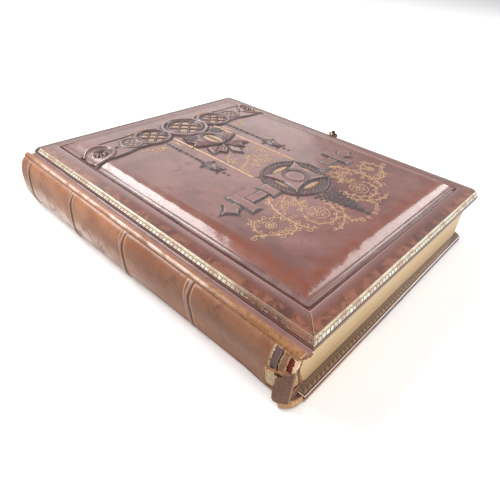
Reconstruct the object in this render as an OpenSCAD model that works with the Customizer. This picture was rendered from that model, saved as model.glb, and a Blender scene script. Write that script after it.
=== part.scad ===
// Photo album with a raised and decorated front board, lying on its back board.
// X runs from the spine to the fore-edge, Y from the tail to the head, Z up.
// The origin is the middle of the back board's underside. Sizes are in millimetres.

/* [Boards] */
// Width of each board, from its spine side to its fore-edge
board_w = 236; // [225:1:280]
// Height of each board, from tail to head
board_h = 300; // [280:1:360]
// Thickness of the leather-covered back board
back_board_t = 3.7; // [3.2:0.1:6]
// Radius of the boards' fore-edge corners, seen from above
corner_r = 8; // [4:0.5:10]
// Rounding of the boards' outer arrises
arris = 0.7; // [0.3:0.1:1]
// Thickness of the lining papers
paper_t = 0.3; // [0.2:0.05:0.6]
// Margin of turned-in leather round the lining papers
turn_in_w = 9; // [6.5:0.5:14]
// Running gap between the leaves and each lining paper
cover_gap = 0.15; // [0.1:0.05:0.5]

/* [Leaves] */
// Number of card leaves
leaf_count = 30; // [20:1:40]
// Thickness of one card leaf
leaf_t = 1.24; // [1:0.02:1.5]
// Overhang of the boards past the leaves at head and tail
square_w = 5.8; // [4:0.1:9]
// Overhang of the boards past the leaves at the fore-edge
fore_square = 6.5; // [6:0.1:9]
// Hollow of the fore-edge of the leaves
fore_hollow = 1.4; // [0.4:0.1:3]
// Depth of the line between two leaves
leaf_line_d = 0.3; // [0.15:0.05:0.6]
// Width of the line between two leaves
leaf_line_w = 0.16; // [0.1:0.02:0.3]

/* [Front board moulding] */
// Upright part of the front board's edge
edge_h = 3.6; // [2.5:0.1:5]
// Width of the gilt bevel, seen from above
bevel_w = 3.2; // [2:0.1:5]
// Height of the gilt bevel
bevel_h = 3; // [2:0.1:4]
// Thickness of the gilding on the bevel
gilt_t = 0.15; // [0.1:0.05:0.3]
// Rise of the moulding above the bevel
moulding_rise = 1.5; // [0.8:0.1:3]
// Distance of the moulding's crest from the board's edge
crest_in = 11; // [10.5:0.5:13]
// Width of the moulded frame, from the board's edge to the groove
frame_w = 15.8; // [15:0.1:22]
// Width of the groove between frame and panel
groove_w = 1.6; // [1:0.1:3]
// Depth of the groove under the top of the bevel
groove_d = 0.6; // [0.3:0.1:2]
// Distance of the tooled line from the groove
line_in = 2; // [1.5:0.1:2.6]
// Width of the tooled lines beside the groove and the gilt bevel
line_w = 0.8; // [0.4:0.1:1]
// Depth of the tooled lines
line_d = 0.35; // [0.2:0.05:0.6]

/* [Raised panel] */
// Height of the panel's upright foot
foot_h = 1.7; // [1:0.1:3]
// Width of the small step above the foot
step_w = 1.6; // [0.8:0.1:3]
// Width of the bullnose edge
bullnose_w = 13.5; // [8:0.5:18]
// Height of the bullnose edge
bullnose_h = 5.3; // [3:0.1:8]
// Rise of the padded top, from the bullnose to the middle
crown = 1.9; // [1:0.1:4]

/* [Relief] */
// Height of the pressed relief above the panel
relief_h = 0.9; // [0.5:0.1:1.6]
// Height of the star, the cross and the palmette above the panel
high_relief_h = 1.4; // [0.9:0.1:2]
// Height of the star's oval boss above the panel
boss_h = 1.8; // [1:0.1:2.4]
// Height of the sunk fields and the gilt lines above the panel
gilt_h = 0.25; // [0.15:0.05:0.5]
// Distance of the strapwork's axis from the panel's middle
strap_y = 90.5; // [86:0.5:94]
// Half width of the strapwork band
strap_half = 15.5; // [12:0.5:16]
// Width of the band's raised border
border_w = 2; // [1.2:0.1:3]
// Radius of the strapwork's middle medallion
medal_r = 21.3; // [19:0.1:22]
// Radius of the two large rings
ring_r = 17; // [15:0.1:17.5]
// Radius of the two small rings
small_ring_r = 10.5; // [9:0.1:11]
// Radius of the two eyes at the band's ends
eye_r = 13.5; // [11:0.1:14]
// Distance of the lower medallion's centre from the panel's middle
star_y = 43; // [38:0.5:46]
// Radius of the lower medallion
star_ring_r = 27; // [24:0.1:28]
// Reach of the four star points, along X and Y
star_reach = 22; // [20:0.1:23.5]
// Depth of the star's hollow sides
star_hollow = 9; // [6:0.1:10]

/* [Spine] */
// Distance of the shoulder ridges from the boards
joint_w = 6.2; // [5:0.1:9]
// Radius of the shoulder ridges
ridge_r = 1.5; // [1.2:0.05:1.8]
// Thickness of the joint leather
joint_t = 1.2; // [0.8:0.1:1.4]
// Running gap round the shoulder ridges
ridge_gap = 0.3; // [0.25:0.05:0.5]
// Bulge of the spine past the shoulder ridges
spine_bulge = 7.3; // [6:0.1:9]
// Bulge of the leaves' back past their square end
block_bulge = 7.2; // [5:0.1:7.8]
// Distance of the leaves' square end from the boards
block_back = 3.5; // [2:0.1:4]
// Thickness of the spine lining
lining_t = 0.8; // [0.4:0.1:1.2]
// Number of raised bands
band_count = 5; // [3:1:7]
// Distance of the outer bands' middles from the spine's ends
band_in = 13.5; // [13:0.5:30]
// Width of a raised band
band_w = 4.4; // [3:0.1:7]
// Height of a raised band
band_h = 0.8; // [0.4:0.1:1]
// Length of spine leather lost at the upper half of the tail
tear_len = 7.6; // [4:0.1:9]

/* [Clasp] */
// Width of the clasp's plates
plate_w = 12; // [10:0.5:16]
// Thickness of the clasp's plates
plate_t = 0.8; // [0.6:0.1:1.2]
// Diameter of the catch stud's neck
neck_d = 2.6; // [2:0.1:3]
// Diameter of the catch stud's head
head_d = 4.6; // [4:0.1:4.8]
// Clearance of the hasp round the stud's head
stud_gap = 0.4; // [0.3:0.05:0.6]
// Height of the stud above the front board's underside
stud_up = 4; // [3.8:0.1:4.4]
// Width of the hasp
hasp_w = 7; // [6:0.1:8]
// Thickness of the hasp
hasp_t = 1.2; // [0.8:0.1:1.4]
// Diameter of the clasp pin
pin_d = 1.4; // [1:0.1:1.6]
// Running gap of the hasp on its pin
pin_gap = 0.12; // [0.08:0.02:0.2]
// Outer diameter of the hinge barrels
barrel_d = 3.6; // [3.2:0.1:3.8]
// Length of the hasp's barrel
hasp_barrel = 5; // [4:0.1:6]

/* [Hidden] */

$fn = 48;
eps = 0.01;
crown_steps = 3;
spine_steps = 28;

sx = -board_w / 2;
fx = board_w / 2;
block_z = back_board_t + paper_t + cover_gap;
block_t = leaf_count * leaf_t;
block_mid = block_z + block_t / 2;
block_len = board_h - 2 * square_w;
block_fore = fx - fore_square;
front_z = block_z + block_t + cover_gap + paper_t;

// Heights of the front board above its own underside
bevel_top = edge_h + bevel_h;
seat_h = bevel_top - groove_d;
panel_in = frame_w + groove_w;
panel_w = board_w - 2 * panel_in;
panel_l = board_h - 2 * panel_in;
bullnose_z = seat_h + foot_h;

// Strapwork, measured from the panel's middle
ring_x = 38.5;
small_x = 62;
strap_end = panel_w / 2;
strap_end_half = 11.5;
eye_x = strap_end - 7.6;

// Gilt cords beside the palmette
cord_x = 24.7;
cord_w = 2.2;
cord_low = -20;

// Hinge lines, at the middle of the joint leather
joint_lift = 0.05;
front_hinge_z = front_z + joint_t / 2 + joint_lift;
back_hinge_z = (back_board_t + paper_t) / 2;
spine_mid = (front_hinge_z + back_hinge_z) / 2;
spine_half = (front_hinge_z - back_hinge_z) / 2 - 0.7 * ridge_r;
band_reach = board_h / 2 - band_in;
spine_power = 2.6;
block_power = 2.4;
lining_reach = block_t * 0.38;

// Clasp, measured from the boards' fore-edge
plate_lift = 0.2;
stud_z = front_z + stud_up;
pin_z = back_hinge_z;
pin_x = fx + plate_t + ridge_gap + barrel_d / 2;
strap_off = barrel_d / 2 - hasp_t;
hasp_len = stud_z - pin_z;
hole_d = head_d + 2 * stud_gap;
collar_end = pin_x + strap_off - ridge_gap;
neck_end = pin_x + strap_off + hasp_t + ridge_gap;
head_t = 1.4;
barrel_gap = 0.15;
knuckle = (plate_w - hasp_barrel) / 2 - barrel_gap;

leather = [0.50, 0.30, 0.24];
tan_leather = [0.72, 0.50, 0.36];
dark_relief = [0.30, 0.25, 0.25];
gold = [0.85, 0.68, 0.42];
cream = [0.92, 0.85, 0.70];
brass = [0.65, 0.53, 0.30];

// Point of a half oval of bulge a and half height b at angle t, squared by power p
function bulge_point(a, b, p, t) = [
    -a * pow(cos(t), 2 / p),
    b * (t < 0 ? -1 : 1) * pow(abs(sin(t)), 2 / p)
];

function bulge_curve(a, b, p) = [
    for (i = [0 : spine_steps]) bulge_point(a, b, p, -90 + 180 * i / spine_steps)
];

// Height of the frame moulding at distance t from the board's edge
function moulding_z(t) =
    bevel_top + moulding_rise * (1 - pow((t - crest_in) / (crest_in - bevel_w), 2));

// Fore-edge of the leaves at height share v, from -1 to 1
function fore_x(v) = block_fore - fore_hollow * (1 - v * v);

function band_y(i) = band_reach * (2 * i / (band_count - 1) - 1);

// Radius of an arc of the given chord and rise
function arc_radius(chord, rise) = (chord * chord / 4 + rise * rise) / (2 * rise);

// Runs a profile drawn in X and Z along Y, centred
module along_y(length) {
    translate([0, length / 2, 0])
        rotate([90, 0, 0])
            linear_extrude(length) children();
}

// Runs a profile drawn in X and Z along X, centred
module along_x(length) {
    rotate([0, 0, 90]) along_y(length) children();
}

// Plan of a mitre at the low end of a side, stopping short of a corner rounded by r
function mitre(length, inner, r) =
    r == 0 ? [[0, -length / 2], [inner, inner - length / 2]]
    : inner > r ? [[0, r - length / 2], [r, r - length / 2], [inner, inner - length / 2]]
    : [[0, r - length / 2], [inner, r - length / 2]];

// One side of a mitred frame, its profile running inward along X
module mitred_side(length, inner, low_r, high_r) {
    high = mitre(length, inner, high_r);
    intersection() {
        along_y(length) children();
        translate([0, 0, -1])
            linear_extrude(bevel_top + moulding_rise + 3)
                polygon(concat(
                    mitre(length, inner, low_r),
                    [for (i = [len(high) - 1 : -1 : 0]) [high[i][0], -high[i][1]]]
                ));
    }
}

// Profile run round a board, with mitred spine corners and rounded fore-edge corners
module board_rim(inner) {
    translate([sx, 0, 0]) mitred_side(board_h, inner, 0, 0) children();
    translate([fx, 0, 0])
        rotate([0, 0, 180]) mitred_side(board_h, inner, corner_r, corner_r) children();
    translate([0, -board_h / 2, 0])
        rotate([0, 0, 90]) mitred_side(board_w, inner, corner_r, 0) children();
    translate([0, board_h / 2, 0])
        rotate([0, 0, -90]) mitred_side(board_w, inner, 0, corner_r) children();
    for (s = [-1, 1])
        translate([fx - corner_r, s * (board_h / 2 - corner_r), 0])
            rotate([0, 0, s < 0 ? -90 : 0])
                rotate_extrude(angle = 90)
                    intersection() {
                        translate([corner_r, 0]) mirror([1, 0]) children();
                        translate([0, -1]) square([corner_r + 1, board_h]);
                    }
}

// Middle of a board, reaching under the rim and into its rounded corners
module board_core(reach_in, height) {
    in = corner_r - 0.7 * (corner_r - reach_in);
    translate([sx + in, in - board_h / 2, 0])
        cube([board_w - 2 * in, board_h - 2 * in, height]);
}

// Front board: frame moulding round a sunk seat for the panel
module moulding_profile() {
    steps = 7;
    lip = frame_w - line_in;
    crease = bevel_w + line_w;
    polygon(concat(
        [
            [frame_w, 0], [arris, 0], [0, arris], [0, edge_h], [bevel_w, bevel_top],
            [bevel_w + line_w / 2, bevel_top - line_d]
        ],
        [for (i = [0 : steps]) let (t = crease + (lip - line_w / 2 - crease) * i / steps)
            [t, moulding_z(t)]],
        [
            [lip, moulding_z(lip) - line_d], [lip + line_w / 2, moulding_z(lip + line_w / 2)],
            [frame_w - 0.3, moulding_z(frame_w - 0.3)], [frame_w, moulding_z(frame_w) - 0.4]
        ]
    ));
}

module gilt_profile() {
    margin = 0.12;
    low = margin * bevel_w;
    high = (1 - margin) * bevel_w;
    slope = bevel_h / bevel_w;
    polygon([
        [low, edge_h + low * slope - gilt_t], [low, edge_h + low * slope + gilt_t],
        [high, edge_h + high * slope + gilt_t], [high, edge_h + high * slope - gilt_t]
    ]);
}

module front_board() {
    translate([0, 0, front_z]) {
        color(leather) {
            board_rim(frame_w) moulding_profile();
            board_core(bevel_w, seat_h);
        }
        color(gold) board_rim(bevel_w) gilt_profile();
    }
}

// Raised panel: foot, step, bullnose and a crowned top, the same on all four sides
module panel_profile(length) {
    steps = 8;
    half = length / 2;
    flat = half - step_w - bullnose_w;
    top = bullnose_z + 0.15 + bullnose_h;
    side = concat(
        [[half, seat_h], [half, bullnose_z], [half - step_w, bullnose_z + 0.15]],
        [for (i = [1 : steps]) let (a = 90 * i / steps)
            [flat + bullnose_w * cos(a), top - bullnose_h * (1 - sin(a))]],
        [for (i = [1 : crown_steps - 1]) let (v = 1 - i / crown_steps)
            [flat * v, top + crown * (1 - v * v)]]
    );
    n = len(side);
    polygon(concat(
        side, [[0, top + crown]],
        [for (i = [n - 1 : -1 : 0]) [-side[i][0], side[i][1]]]
    ));
}

module panel_body() {
    intersection() {
        along_y(panel_l) panel_profile(panel_w);
        along_x(panel_w) panel_profile(panel_l);
    }
}

// Keeps what lies under the panel's surface lifted by h
module pressed(h) {
    intersection() {
        translate([0, 0, bullnose_z]) linear_extrude(20) children();
        translate([0, 0, h]) panel_body();
    }
}

module ring_2d(outer, inner) {
    difference() {
        circle(outer);
        circle(inner);
    }
}

module both_sides() {
    children();
    mirror([1, 0]) children();
}

// Strapwork across the head: two chains of rings, ending in eyes that turn over the edge
module strap_outline(inset) {
    half = strap_half - inset;
    polygon([
        [small_x - 4, -half], [small_x + 16, 0.5 - half], [eye_x, 1.4 - half],
        [strap_end, inset - strap_end_half], [strap_end, strap_end_half - inset],
        [eye_x, half - 1.4], [small_x + 16, half - 0.5], [small_x - 4, half]
    ]);
}

module strap_border() {
    difference() {
        strap_outline(0);
        strap_outline(border_w);
        translate([ring_x, 0]) circle(ring_r);
        translate([strap_end - 0.6, -20]) square([5, 40]);
    }
    translate([eye_x, 0]) ring_2d(eye_r, eye_r - border_w);
    translate([small_x, 0]) ring_2d(small_ring_r, small_ring_r - border_w);
    translate([ring_x, 0]) ring_2d(ring_r, ring_r - border_w);
}

module lattice(reach, bar) {
    for (a = [45, -45])
        for (s = [-1, 1])
            rotate(a) translate([-reach, s * reach * 0.36 - bar / 2]) square([2 * reach, bar]);
}

module gilt_lozenges(reach) {
    size = reach * 0.42;
    rotate(45) square(size, center = true);
    for (a = [45 : 90 : 315])
        rotate(a) translate([reach * 0.62, 0]) square(size, center = true);
}

module berries() {
    circle(1.3, $fn = 12);
    for (a = [0 : 60 : 300])
        rotate(a) translate([3.2, 0]) circle(1.5, $fn = 12);
}

module strapwork() {
    translate([0, strap_y]) {
        ring_2d(medal_r, medal_r - border_w);
        intersection() {
            circle(medal_r - border_w);
            lattice(12.5, 1.1);
        }
        both_sides() {
            strap_border();
            translate([ring_x, 0]) intersection() {
                circle(ring_r - border_w / 2);
                lattice(9.6, 1.2);
            }
            translate([small_x, 0]) intersection() {
                circle(small_ring_r - border_w / 2);
                lattice(5.5, 0.9);
            }
            translate([eye_x - 2, 0]) berries();
        }
    }
}

// Round bite out of the side from a to b of an outline that runs anticlockwise
module bay(a, b, rise) {
    chord = norm(b - a);
    r = arc_radius(chord, rise);
    out = [b[1] - a[1], a[0] - b[0]] / chord;
    translate((a + b) / 2 + out * (r - rise)) circle(r, $fn = 96);
}

// Palmette under the middle medallion: leaves with hollow sides and pointed tips
module palmette() {
    wing_top = [21, 62];
    wing_tip = [26, 48];
    wing_root = [16.5, 41.5];
    leaf_root = [18, 38.5];
    leaf_tip = [21, 26.5];
    leaf_end = [11, 22.5];
    foot_top = [7, 20.8];
    foot_tip = [0, 12.5];
    half = [
        [9, 67], wing_top, wing_tip, wing_root, leaf_root, leaf_tip, leaf_end, foot_top, foot_tip
    ];
    n = len(half);
    difference() {
        polygon(concat(half, [for (i = [n - 1 : -1 : 0]) [-half[i][0], half[i][1]]]));
        both_sides() {
            bay(wing_tip, wing_top, 1.6);
            bay(wing_root, wing_tip, 0.9);
            bay(leaf_tip, leaf_root, 1.2);
            bay(leaf_end, leaf_tip, 1.1);
            bay(foot_tip, foot_top, 0.9);
        }
        translate([0, strap_y]) circle(medal_r);
        almond(12.5, 8.2);
    }
}

module almond(half_l, half_w) {
    r = arc_radius(2 * half_l, half_w);
    translate([0, 51])
        intersection() {
            translate([r - half_w, 0]) circle(r);
            translate([half_w - r, 0]) circle(r);
        }
}

// Tassels hung from the large rings
module tassel() {
    translate([-0.5, 27]) square([1, strap_y - 27 - ring_r + border_w / 2]);
    translate([0, 52]) circle(1.9);
    translate([0, 44.5]) circle(1.5);
    polygon([
        [-1.2, 28], [1.2, 28], [3.4, 20], [7.6, 12], [7.2, 4],
        [0, -3], [-7.2, 4], [-7.6, 12], [-3.4, 20]
    ]);
    for (s = [-1, 1]) translate([s * 8, 18]) circle(1.6);
}

// Lower medallion: a sunk ring, a four-pointed star with hollow sides and an oval boss
module star() {
    r = arc_radius(2 * star_reach, star_hollow);
    difference() {
        square(2 * star_reach, center = true);
        for (a = [0 : 90 : 270])
            rotate(a) translate([star_reach - star_hollow + r, 0]) circle(r, $fn = 96);
    }
}

module boss(grow) {
    small = 9 + grow;
    r = arc_radius(2 * (12 + grow), small);
    intersection() {
        translate([r - small, 0]) circle(r);
        translate([small - r, 0]) circle(r);
        circle(11.2 + grow);
    }
}

module lunettes() {
    difference() {
        circle(star_ring_r - 7.8);
        star();
        circle(13.2);
    }
}

module cross_arm() {
    translate([star_ring_r - 1, -8.3]) square([9.5, 16.6]);
    translate([star_ring_r + 8, -4.3]) square([20, 8.6]);
    translate([54, -12.8]) square([8.6, 25.6]);
    cross_foot();
}

// Pointed foot of the cross, its outer sides hollow
module cross_foot() {
    tip = [83.5, 0];
    wide = [73, 9];
    difference() {
        polygon([[61, -3.4], [wide[0], -wide[1]], tip, wide, [61, 3.4]]);
        bay([wide[0], -wide[1]], tip, 1.3);
        bay(tip, wide, 1.3);
    }
}

module medallion_rings() {
    translate([0, -star_y]) {
        ring_2d(star_ring_r, star_ring_r - 1.5);
        ring_2d(star_ring_r - 5.2, star_ring_r - 6.7);
    }
}

module star_and_cross() {
    translate([0, -star_y]) {
        difference() {
            star();
            boss(1);
        }
        both_sides() cross_arm();
    }
}

// Leafy drop under the lower medallion
module leafy_drop() {
    for (i = [0 : 5])
        translate([0, -star_y - star_ring_r - 3 - 5.4 * i])
            for (s = [-1, 1]) translate([s * (6.5 - 1.1 * i), 0]) circle(2.1 - 0.2 * i);
    translate([-0.6, -star_y - star_ring_r - 34]) square([1.2, 33]);
}

// Gilt scroll: a ring within a ring, and an eye, each run into the next
module scroll(r, w) {
    inner = 0.62 * r;
    eye = 0.22 * r;
    shift = r - inner - w / 2;
    ring_2d(r, r - w);
    translate([shift, 0]) ring_2d(inner, inner - w);
    translate([shift - inner + eye + w / 2, 0]) circle(eye);
}

module gilt_scrolls() {
    translate([27, -86]) scroll(14.5, 0.9);
    translate([27, -86]) ring_2d(18.5, 17.7);
    translate([45, -66]) scroll(7.5, 0.8);
    translate([66, -73]) scroll(9.5, 0.8);
    translate([10.5, -111]) scroll(5.5, 0.7);
    translate([52, -82]) scroll(6, 0.7);
    translate([30, -60]) scroll(6, 0.7);
    translate([54, 64]) scroll(6.5, 0.7);
    translate([34, 66]) scroll(4, 0.6);
    translate([9, 4]) scroll(7, 0.7);
}

module gilt_fields() {
    translate([0, strap_y]) {
        gilt_lozenges(13);
        both_sides() {
            translate([ring_x, 0]) gilt_lozenges(10.4);
            translate([small_x, 0]) gilt_lozenges(6);
        }
    }
    translate([0, -star_y]) lunettes();
    almond(11, 6.6);
    both_sides() {
        translate([cord_x - cord_w / 2, cord_low]) square([cord_w, strap_y - strap_half - cord_low]);
        gilt_scrolls();
    }
}

module low_relief() {
    strapwork();
    both_sides() translate([ring_x, 0]) tassel();
    medallion_rings();
    leafy_drop();
}

module high_relief() {
    palmette();
    star_and_cross();
}

// Front panel with its ornament pressed up from inside, in two heights and a boss
module front_panel() {
    translate([0, 0, front_z]) {
        color(leather) panel_body();
        color(gold)
            pressed(gilt_h) difference() {
                gilt_fields();
                low_relief();
                high_relief();
            }
        color(dark_relief) {
            pressed(relief_h) low_relief();
            pressed(high_relief_h) high_relief();
            pressed(boss_h) translate([0, -star_y]) boss(0);
        }
    }
}

module lining_paper(z) {
    translate([sx + arris, turn_in_w - board_h / 2, z])
        cube([board_w - arris - turn_in_w, board_h - 2 * turn_in_w, paper_t]);
}

module front_pastedown() {
    color(cream) lining_paper(front_z - paper_t);
}

module back_pastedown() {
    color(cream) lining_paper(back_board_t);
}

// Strip of leather from a board to its shoulder ridge, hollowed to turn round the ridge
module joint_strip(z) {
    along_y(board_h)
        difference() {
            translate([sx - joint_w, z - joint_t / 2]) square([joint_w, joint_t]);
            translate([sx - joint_w, z]) circle(ridge_r + ridge_gap);
        }
}

module front_joint() {
    color(leather) joint_strip(front_hinge_z);
}

module back_joint() {
    color(leather) joint_strip(back_hinge_z);
}

// Leaves: round back, hollow fore-edge, a line between each two leaves
module block_section() {
    steps = 8;
    back = bulge_curve(block_bulge, block_t / 2, block_power);
    polygon(concat(
        [for (p = back) [sx - block_back + p[0], block_mid + p[1]]],
        [for (i = [0 : steps]) let (v = 1 - 2 * i / steps) [fore_x(v), block_mid + v * block_t / 2]]
    ));
}

module text_block() {
    color(cream)
        difference() {
            along_y(block_len) block_section();
            for (i = [1 : leaf_count - 1]) {
                v = 2 * i / leaf_count - 1;
                translate([0, 0, block_z + i * leaf_t - leaf_line_w / 2])
                    linear_extrude(leaf_line_w)
                        difference() {
                            square([2 * board_w, board_h], center = true);
                            translate([-2 * board_w, leaf_line_d - block_len / 2])
                                square([
                                    2 * board_w + fore_x(v) - leaf_line_d,
                                    block_len - 2 * leaf_line_d
                                ]);
                        }
            }
        }
}

module lining_section() {
    intersection() {
        polygon([
            for (p = bulge_curve(block_bulge + lining_t, block_t / 2 + 0.2, block_power))
                [sx - block_back + p[0], block_mid + p[1]]
        ]);
        translate([sx - board_w, block_mid - lining_reach]) square([board_w, 2 * lining_reach]);
    }
}

module spine_lining() {
    color(cream)
        along_y(block_len + 3)
            difference() {
                lining_section();
                block_section();
            }
}

// Rounded spine with low bands, each between two fine fillets
module spine_outline(grow) {
    polygon([
        for (p = bulge_curve(spine_bulge + grow, spine_half + grow / 8, spine_power))
            [sx - joint_w + p[0], spine_mid + p[1]]
    ]);
}

module spine_cut() {
    block_section();
    lining_section();
}

module spine_leather() {
    color(tan_leather)
        difference() {
            along_y(board_h)
                difference() {
                    union() {
                        spine_outline(0);
                        translate([sx - joint_w, front_hinge_z]) circle(ridge_r);
                        translate([sx - joint_w, back_hinge_z]) circle(ridge_r);
                    }
                    spine_cut();
                }
            tail_tear();
        }
    color(leather)
        for (i = [0 : band_count - 1]) {
            translate([0, band_y(i), 0]) band_ring(band_w, band_h);
            for (s = [-1, 1])
                translate([0, band_y(i) + s * (band_w / 2 + 1.2), 0]) band_ring(0.7, band_h / 2);
        }
}

module band_ring(width, height) {
    along_y(width)
        difference() {
            spine_outline(height);
            spine_outline(-0.2);
            translate([sx - 2 * board_w, spine_mid + spine_half * 0.95]) square([2 * board_w, 9]);
            translate([sx - 2 * board_w, spine_mid - spine_half * 0.95 - 9]) square([2 * board_w, 9]);
        }
}

// Ragged outline of the leather lost at the tail, seen from the spine
module tail_tear() {
    tail = -board_h / 2;
    lip = tail + tear_len;
    translate([sx - 40, 0, 0])
        rotate([90, 0, 90])
            linear_extrude(40 - joint_w + ridge_r + 3)
                polygon([
                    [tail - 1, front_z + 12], [lip - 0.6, front_z + 12], [lip, front_z - 3],
                    [lip + 0.9, spine_mid + 14], [lip - 0.5, spine_mid + 10],
                    [lip + 0.5, spine_mid + 6], [lip + 1.6, spine_mid + 3],
                    [lip - 2.4, spine_mid + 1], [tail + 1.6, spine_mid + 2.4],
                    [tail - 1, spine_mid + 0.6]
                ]);
}

// Cloth roll at the head of the leaves
module head_band() {
    color("firebrick")
        translate([0, block_len / 2, 0])
            intersection() {
                translate([sx - block_back - 1.5, 0, block_mid - lining_reach])
                    cylinder(r = 1.3, h = 2 * lining_reach);
                translate([sx - 20, 0, 0]) cube([40, 5, 100]);
            }
}

// Scrap of cloth left at the torn tail
module tail_cloth() {
    color("firebrick")
        translate([sx - block_back, -block_len / 2, block_mid])
            rotate([90, 0, 0])
                linear_extrude(0.6)
                    polygon([[-5.6, 9.5], [-2.5, 8.2], [0.2, 14.5], [-1.6, 16.6], [-4.2, 13.8]]);
}

// Back board: thin, its arrises softened
module back_profile() {
    inner = corner_r + 2;
    t = back_board_t;
    polygon([
        [inner, 0], [arris, 0], [arris * 0.3, arris * 0.3], [0, arris],
        [0, t - arris], [arris * 0.3, t - arris * 0.3], [arris, t], [inner, t]
    ]);
}

module back_board() {
    inner = corner_r + 2;
    color(leather) {
        board_rim(inner) back_profile();
        board_core(1.5 * arris, back_board_t);
    }
}

// Catch plate: a shaped plate on the front board's edge, with a knob between two scrolls
module catch_outline() {
    base_h = edge_h - plate_lift;
    knob_r = 1.9;
    scroll_r = 1.3;
    scroll_at = [3.4, base_h + 3.4];
    waist = 0.7;
    polygon([
        [-plate_w / 2, 0], [plate_w / 2, 0], [plate_w / 2, base_h], [scroll_at[0] + 0.4, scroll_at[1] - 1],
        [waist, base_h + 2], [waist, base_h + 4.6], [-waist, base_h + 4.6], [-waist, base_h + 2],
        [-scroll_at[0] - 0.4, scroll_at[1] - 1], [-plate_w / 2, base_h]
    ]);
    translate([0, base_h + 5.2]) circle(knob_r);
    for (s = [-1, 1]) translate([s * scroll_at[0], scroll_at[1]]) ring_2d(scroll_r, 0.6);
}

module catch_plate() {
    color(brass)
        translate([fx, 0, front_z + plate_lift])
            rotate([90, 0, 90]) linear_extrude(plate_t) catch_outline();
}

// Stud: collar, neck and rounded head
module catch_stud() {
    neck_r = neck_d / 2;
    collar = collar_end - fx - plate_t;
    neck = neck_end - fx - plate_t;
    color(brass)
        translate([fx + plate_t, 0, stud_z])
            rotate([0, 90, 0])
                rotate_extrude()
                    polygon([
                        [0, 0], [neck_r + 0.5, 0], [neck_r + 0.5, collar], [neck_r, collar],
                        [neck_r, neck], [head_d / 2, neck], [head_d / 2, neck + head_t / 2],
                        [head_d / 4, neck + head_t], [0, neck + head_t]
                    ]);
}

module nail_head() {
    rotate_extrude(angle = 360, $fn = 24)
        polygon([[0, 0], [0.8, 0], [0.6, 0.3], [0, 0.45]]);
}

module catch_nails() {
    color(brass)
        for (s = [-1, 1])
            translate([fx + plate_t, s * (plate_w / 2 - 1.6), front_z + edge_h / 2])
                rotate([0, 90, 0]) nail_head();
}

// Hinge plate on the back board's fore-edge, with two barrels round the pin
module knuckle_barrel(y, length) {
    translate([pin_x, y, pin_z])
        rotate([-90, 0, 0]) {
            difference() {
                cylinder(d = barrel_d, h = length);
                translate([0, 0, -1]) cylinder(d = pin_d, h = length + 2);
            }
        }
}

module hinge_plate() {
    leaf = fore_square - 1;
    color(brass) {
        translate([fx, -plate_w / 2, arris / 2])
            cube([plate_t, plate_w, back_board_t - arris / 2 + plate_t / 2]);
        translate([fx - leaf, -plate_w / 2, back_board_t])
            cube([leaf + plate_t, plate_w, plate_t / 2]);
        for (s = [-1, 1]) {
            y = s < 0 ? -plate_w / 2 : plate_w / 2 - knuckle;
            knuckle_barrel(y, knuckle);
            translate([fx + plate_t / 2, y, pin_z - barrel_d / 2])
                cube([pin_x - fx - plate_t / 2, knuckle, (barrel_d - pin_d) / 2 - 0.2]);
        }
    }
}

module hinge_nails() {
    color(brass)
        for (s = [-1, 1])
            translate([fx - fore_square / 2, s * (plate_w / 2 - 2.4), back_board_t + plate_t / 2])
                nail_head();
}

module clasp_pin() {
    color(brass)
        translate([pin_x, -plate_w / 2, pin_z])
            rotate([-90, 0, 0]) cylinder(d = pin_d, h = plate_w);
}

// Hasp: barrel, tapering strap, round head with a hole and a curled thumb lip
module hasp_outline() {
    head_r = hole_d / 2 + 2.2;
    translate([hasp_len, 0]) circle(head_r);
    translate([hasp_len + head_r + 0.6, 0]) circle(2.1);
    polygon([
        [0, -hasp_barrel / 2], [5, -hasp_barrel / 2], [9, -hasp_w / 2],
        [hasp_len * 0.62, -hasp_w / 2 + 0.8], [hasp_len - head_r + 1, -hasp_w / 2 + 1.2],
        [hasp_len, -head_r + 1], [hasp_len, head_r - 1],
        [hasp_len - head_r + 1, hasp_w / 2 - 1.2], [hasp_len * 0.62, hasp_w / 2 - 0.8],
        [9, hasp_w / 2], [5, hasp_barrel / 2], [0, hasp_barrel / 2]
    ]);
}

module hasp() {
    bore = pin_d + 2 * pin_gap;
    color(brass)
        translate([pin_x, 0, pin_z])
            difference() {
                union() {
                    rotate([-90, 0, 0])
                        translate([0, 0, -hasp_barrel / 2]) cylinder(d = barrel_d, h = hasp_barrel);
                    translate([0, 0, -barrel_d / 2]) linear_extrude(hasp_t) hasp_outline();
                }
                rotate([-90, 0, 0])
                    translate([0, 0, -hasp_barrel]) cylinder(d = bore, h = 2 * hasp_barrel);
                translate([hasp_len, 0, -barrel_d]) cylinder(d = hole_d, h = 2 * barrel_d);
            }
}

front_board();
front_panel();
front_pastedown();
front_joint();
catch_plate();
catch_stud();
catch_nails();
text_block();
spine_leather();
spine_lining();
head_band();
tail_cloth();
back_board();
back_pastedown();
back_joint();
hinge_plate();
hinge_nails();
clasp_pin();
hasp();
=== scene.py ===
"""Looks of the photo album: its leather, gilding, leaves and clasp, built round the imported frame."""

import logging
import math
from dataclasses import dataclass
from enum import Enum
from typing import Callable, ClassVar, Sequence

import bpy
import numpy as np
from mathutils import Matrix, Quaternion, Vector

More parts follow.
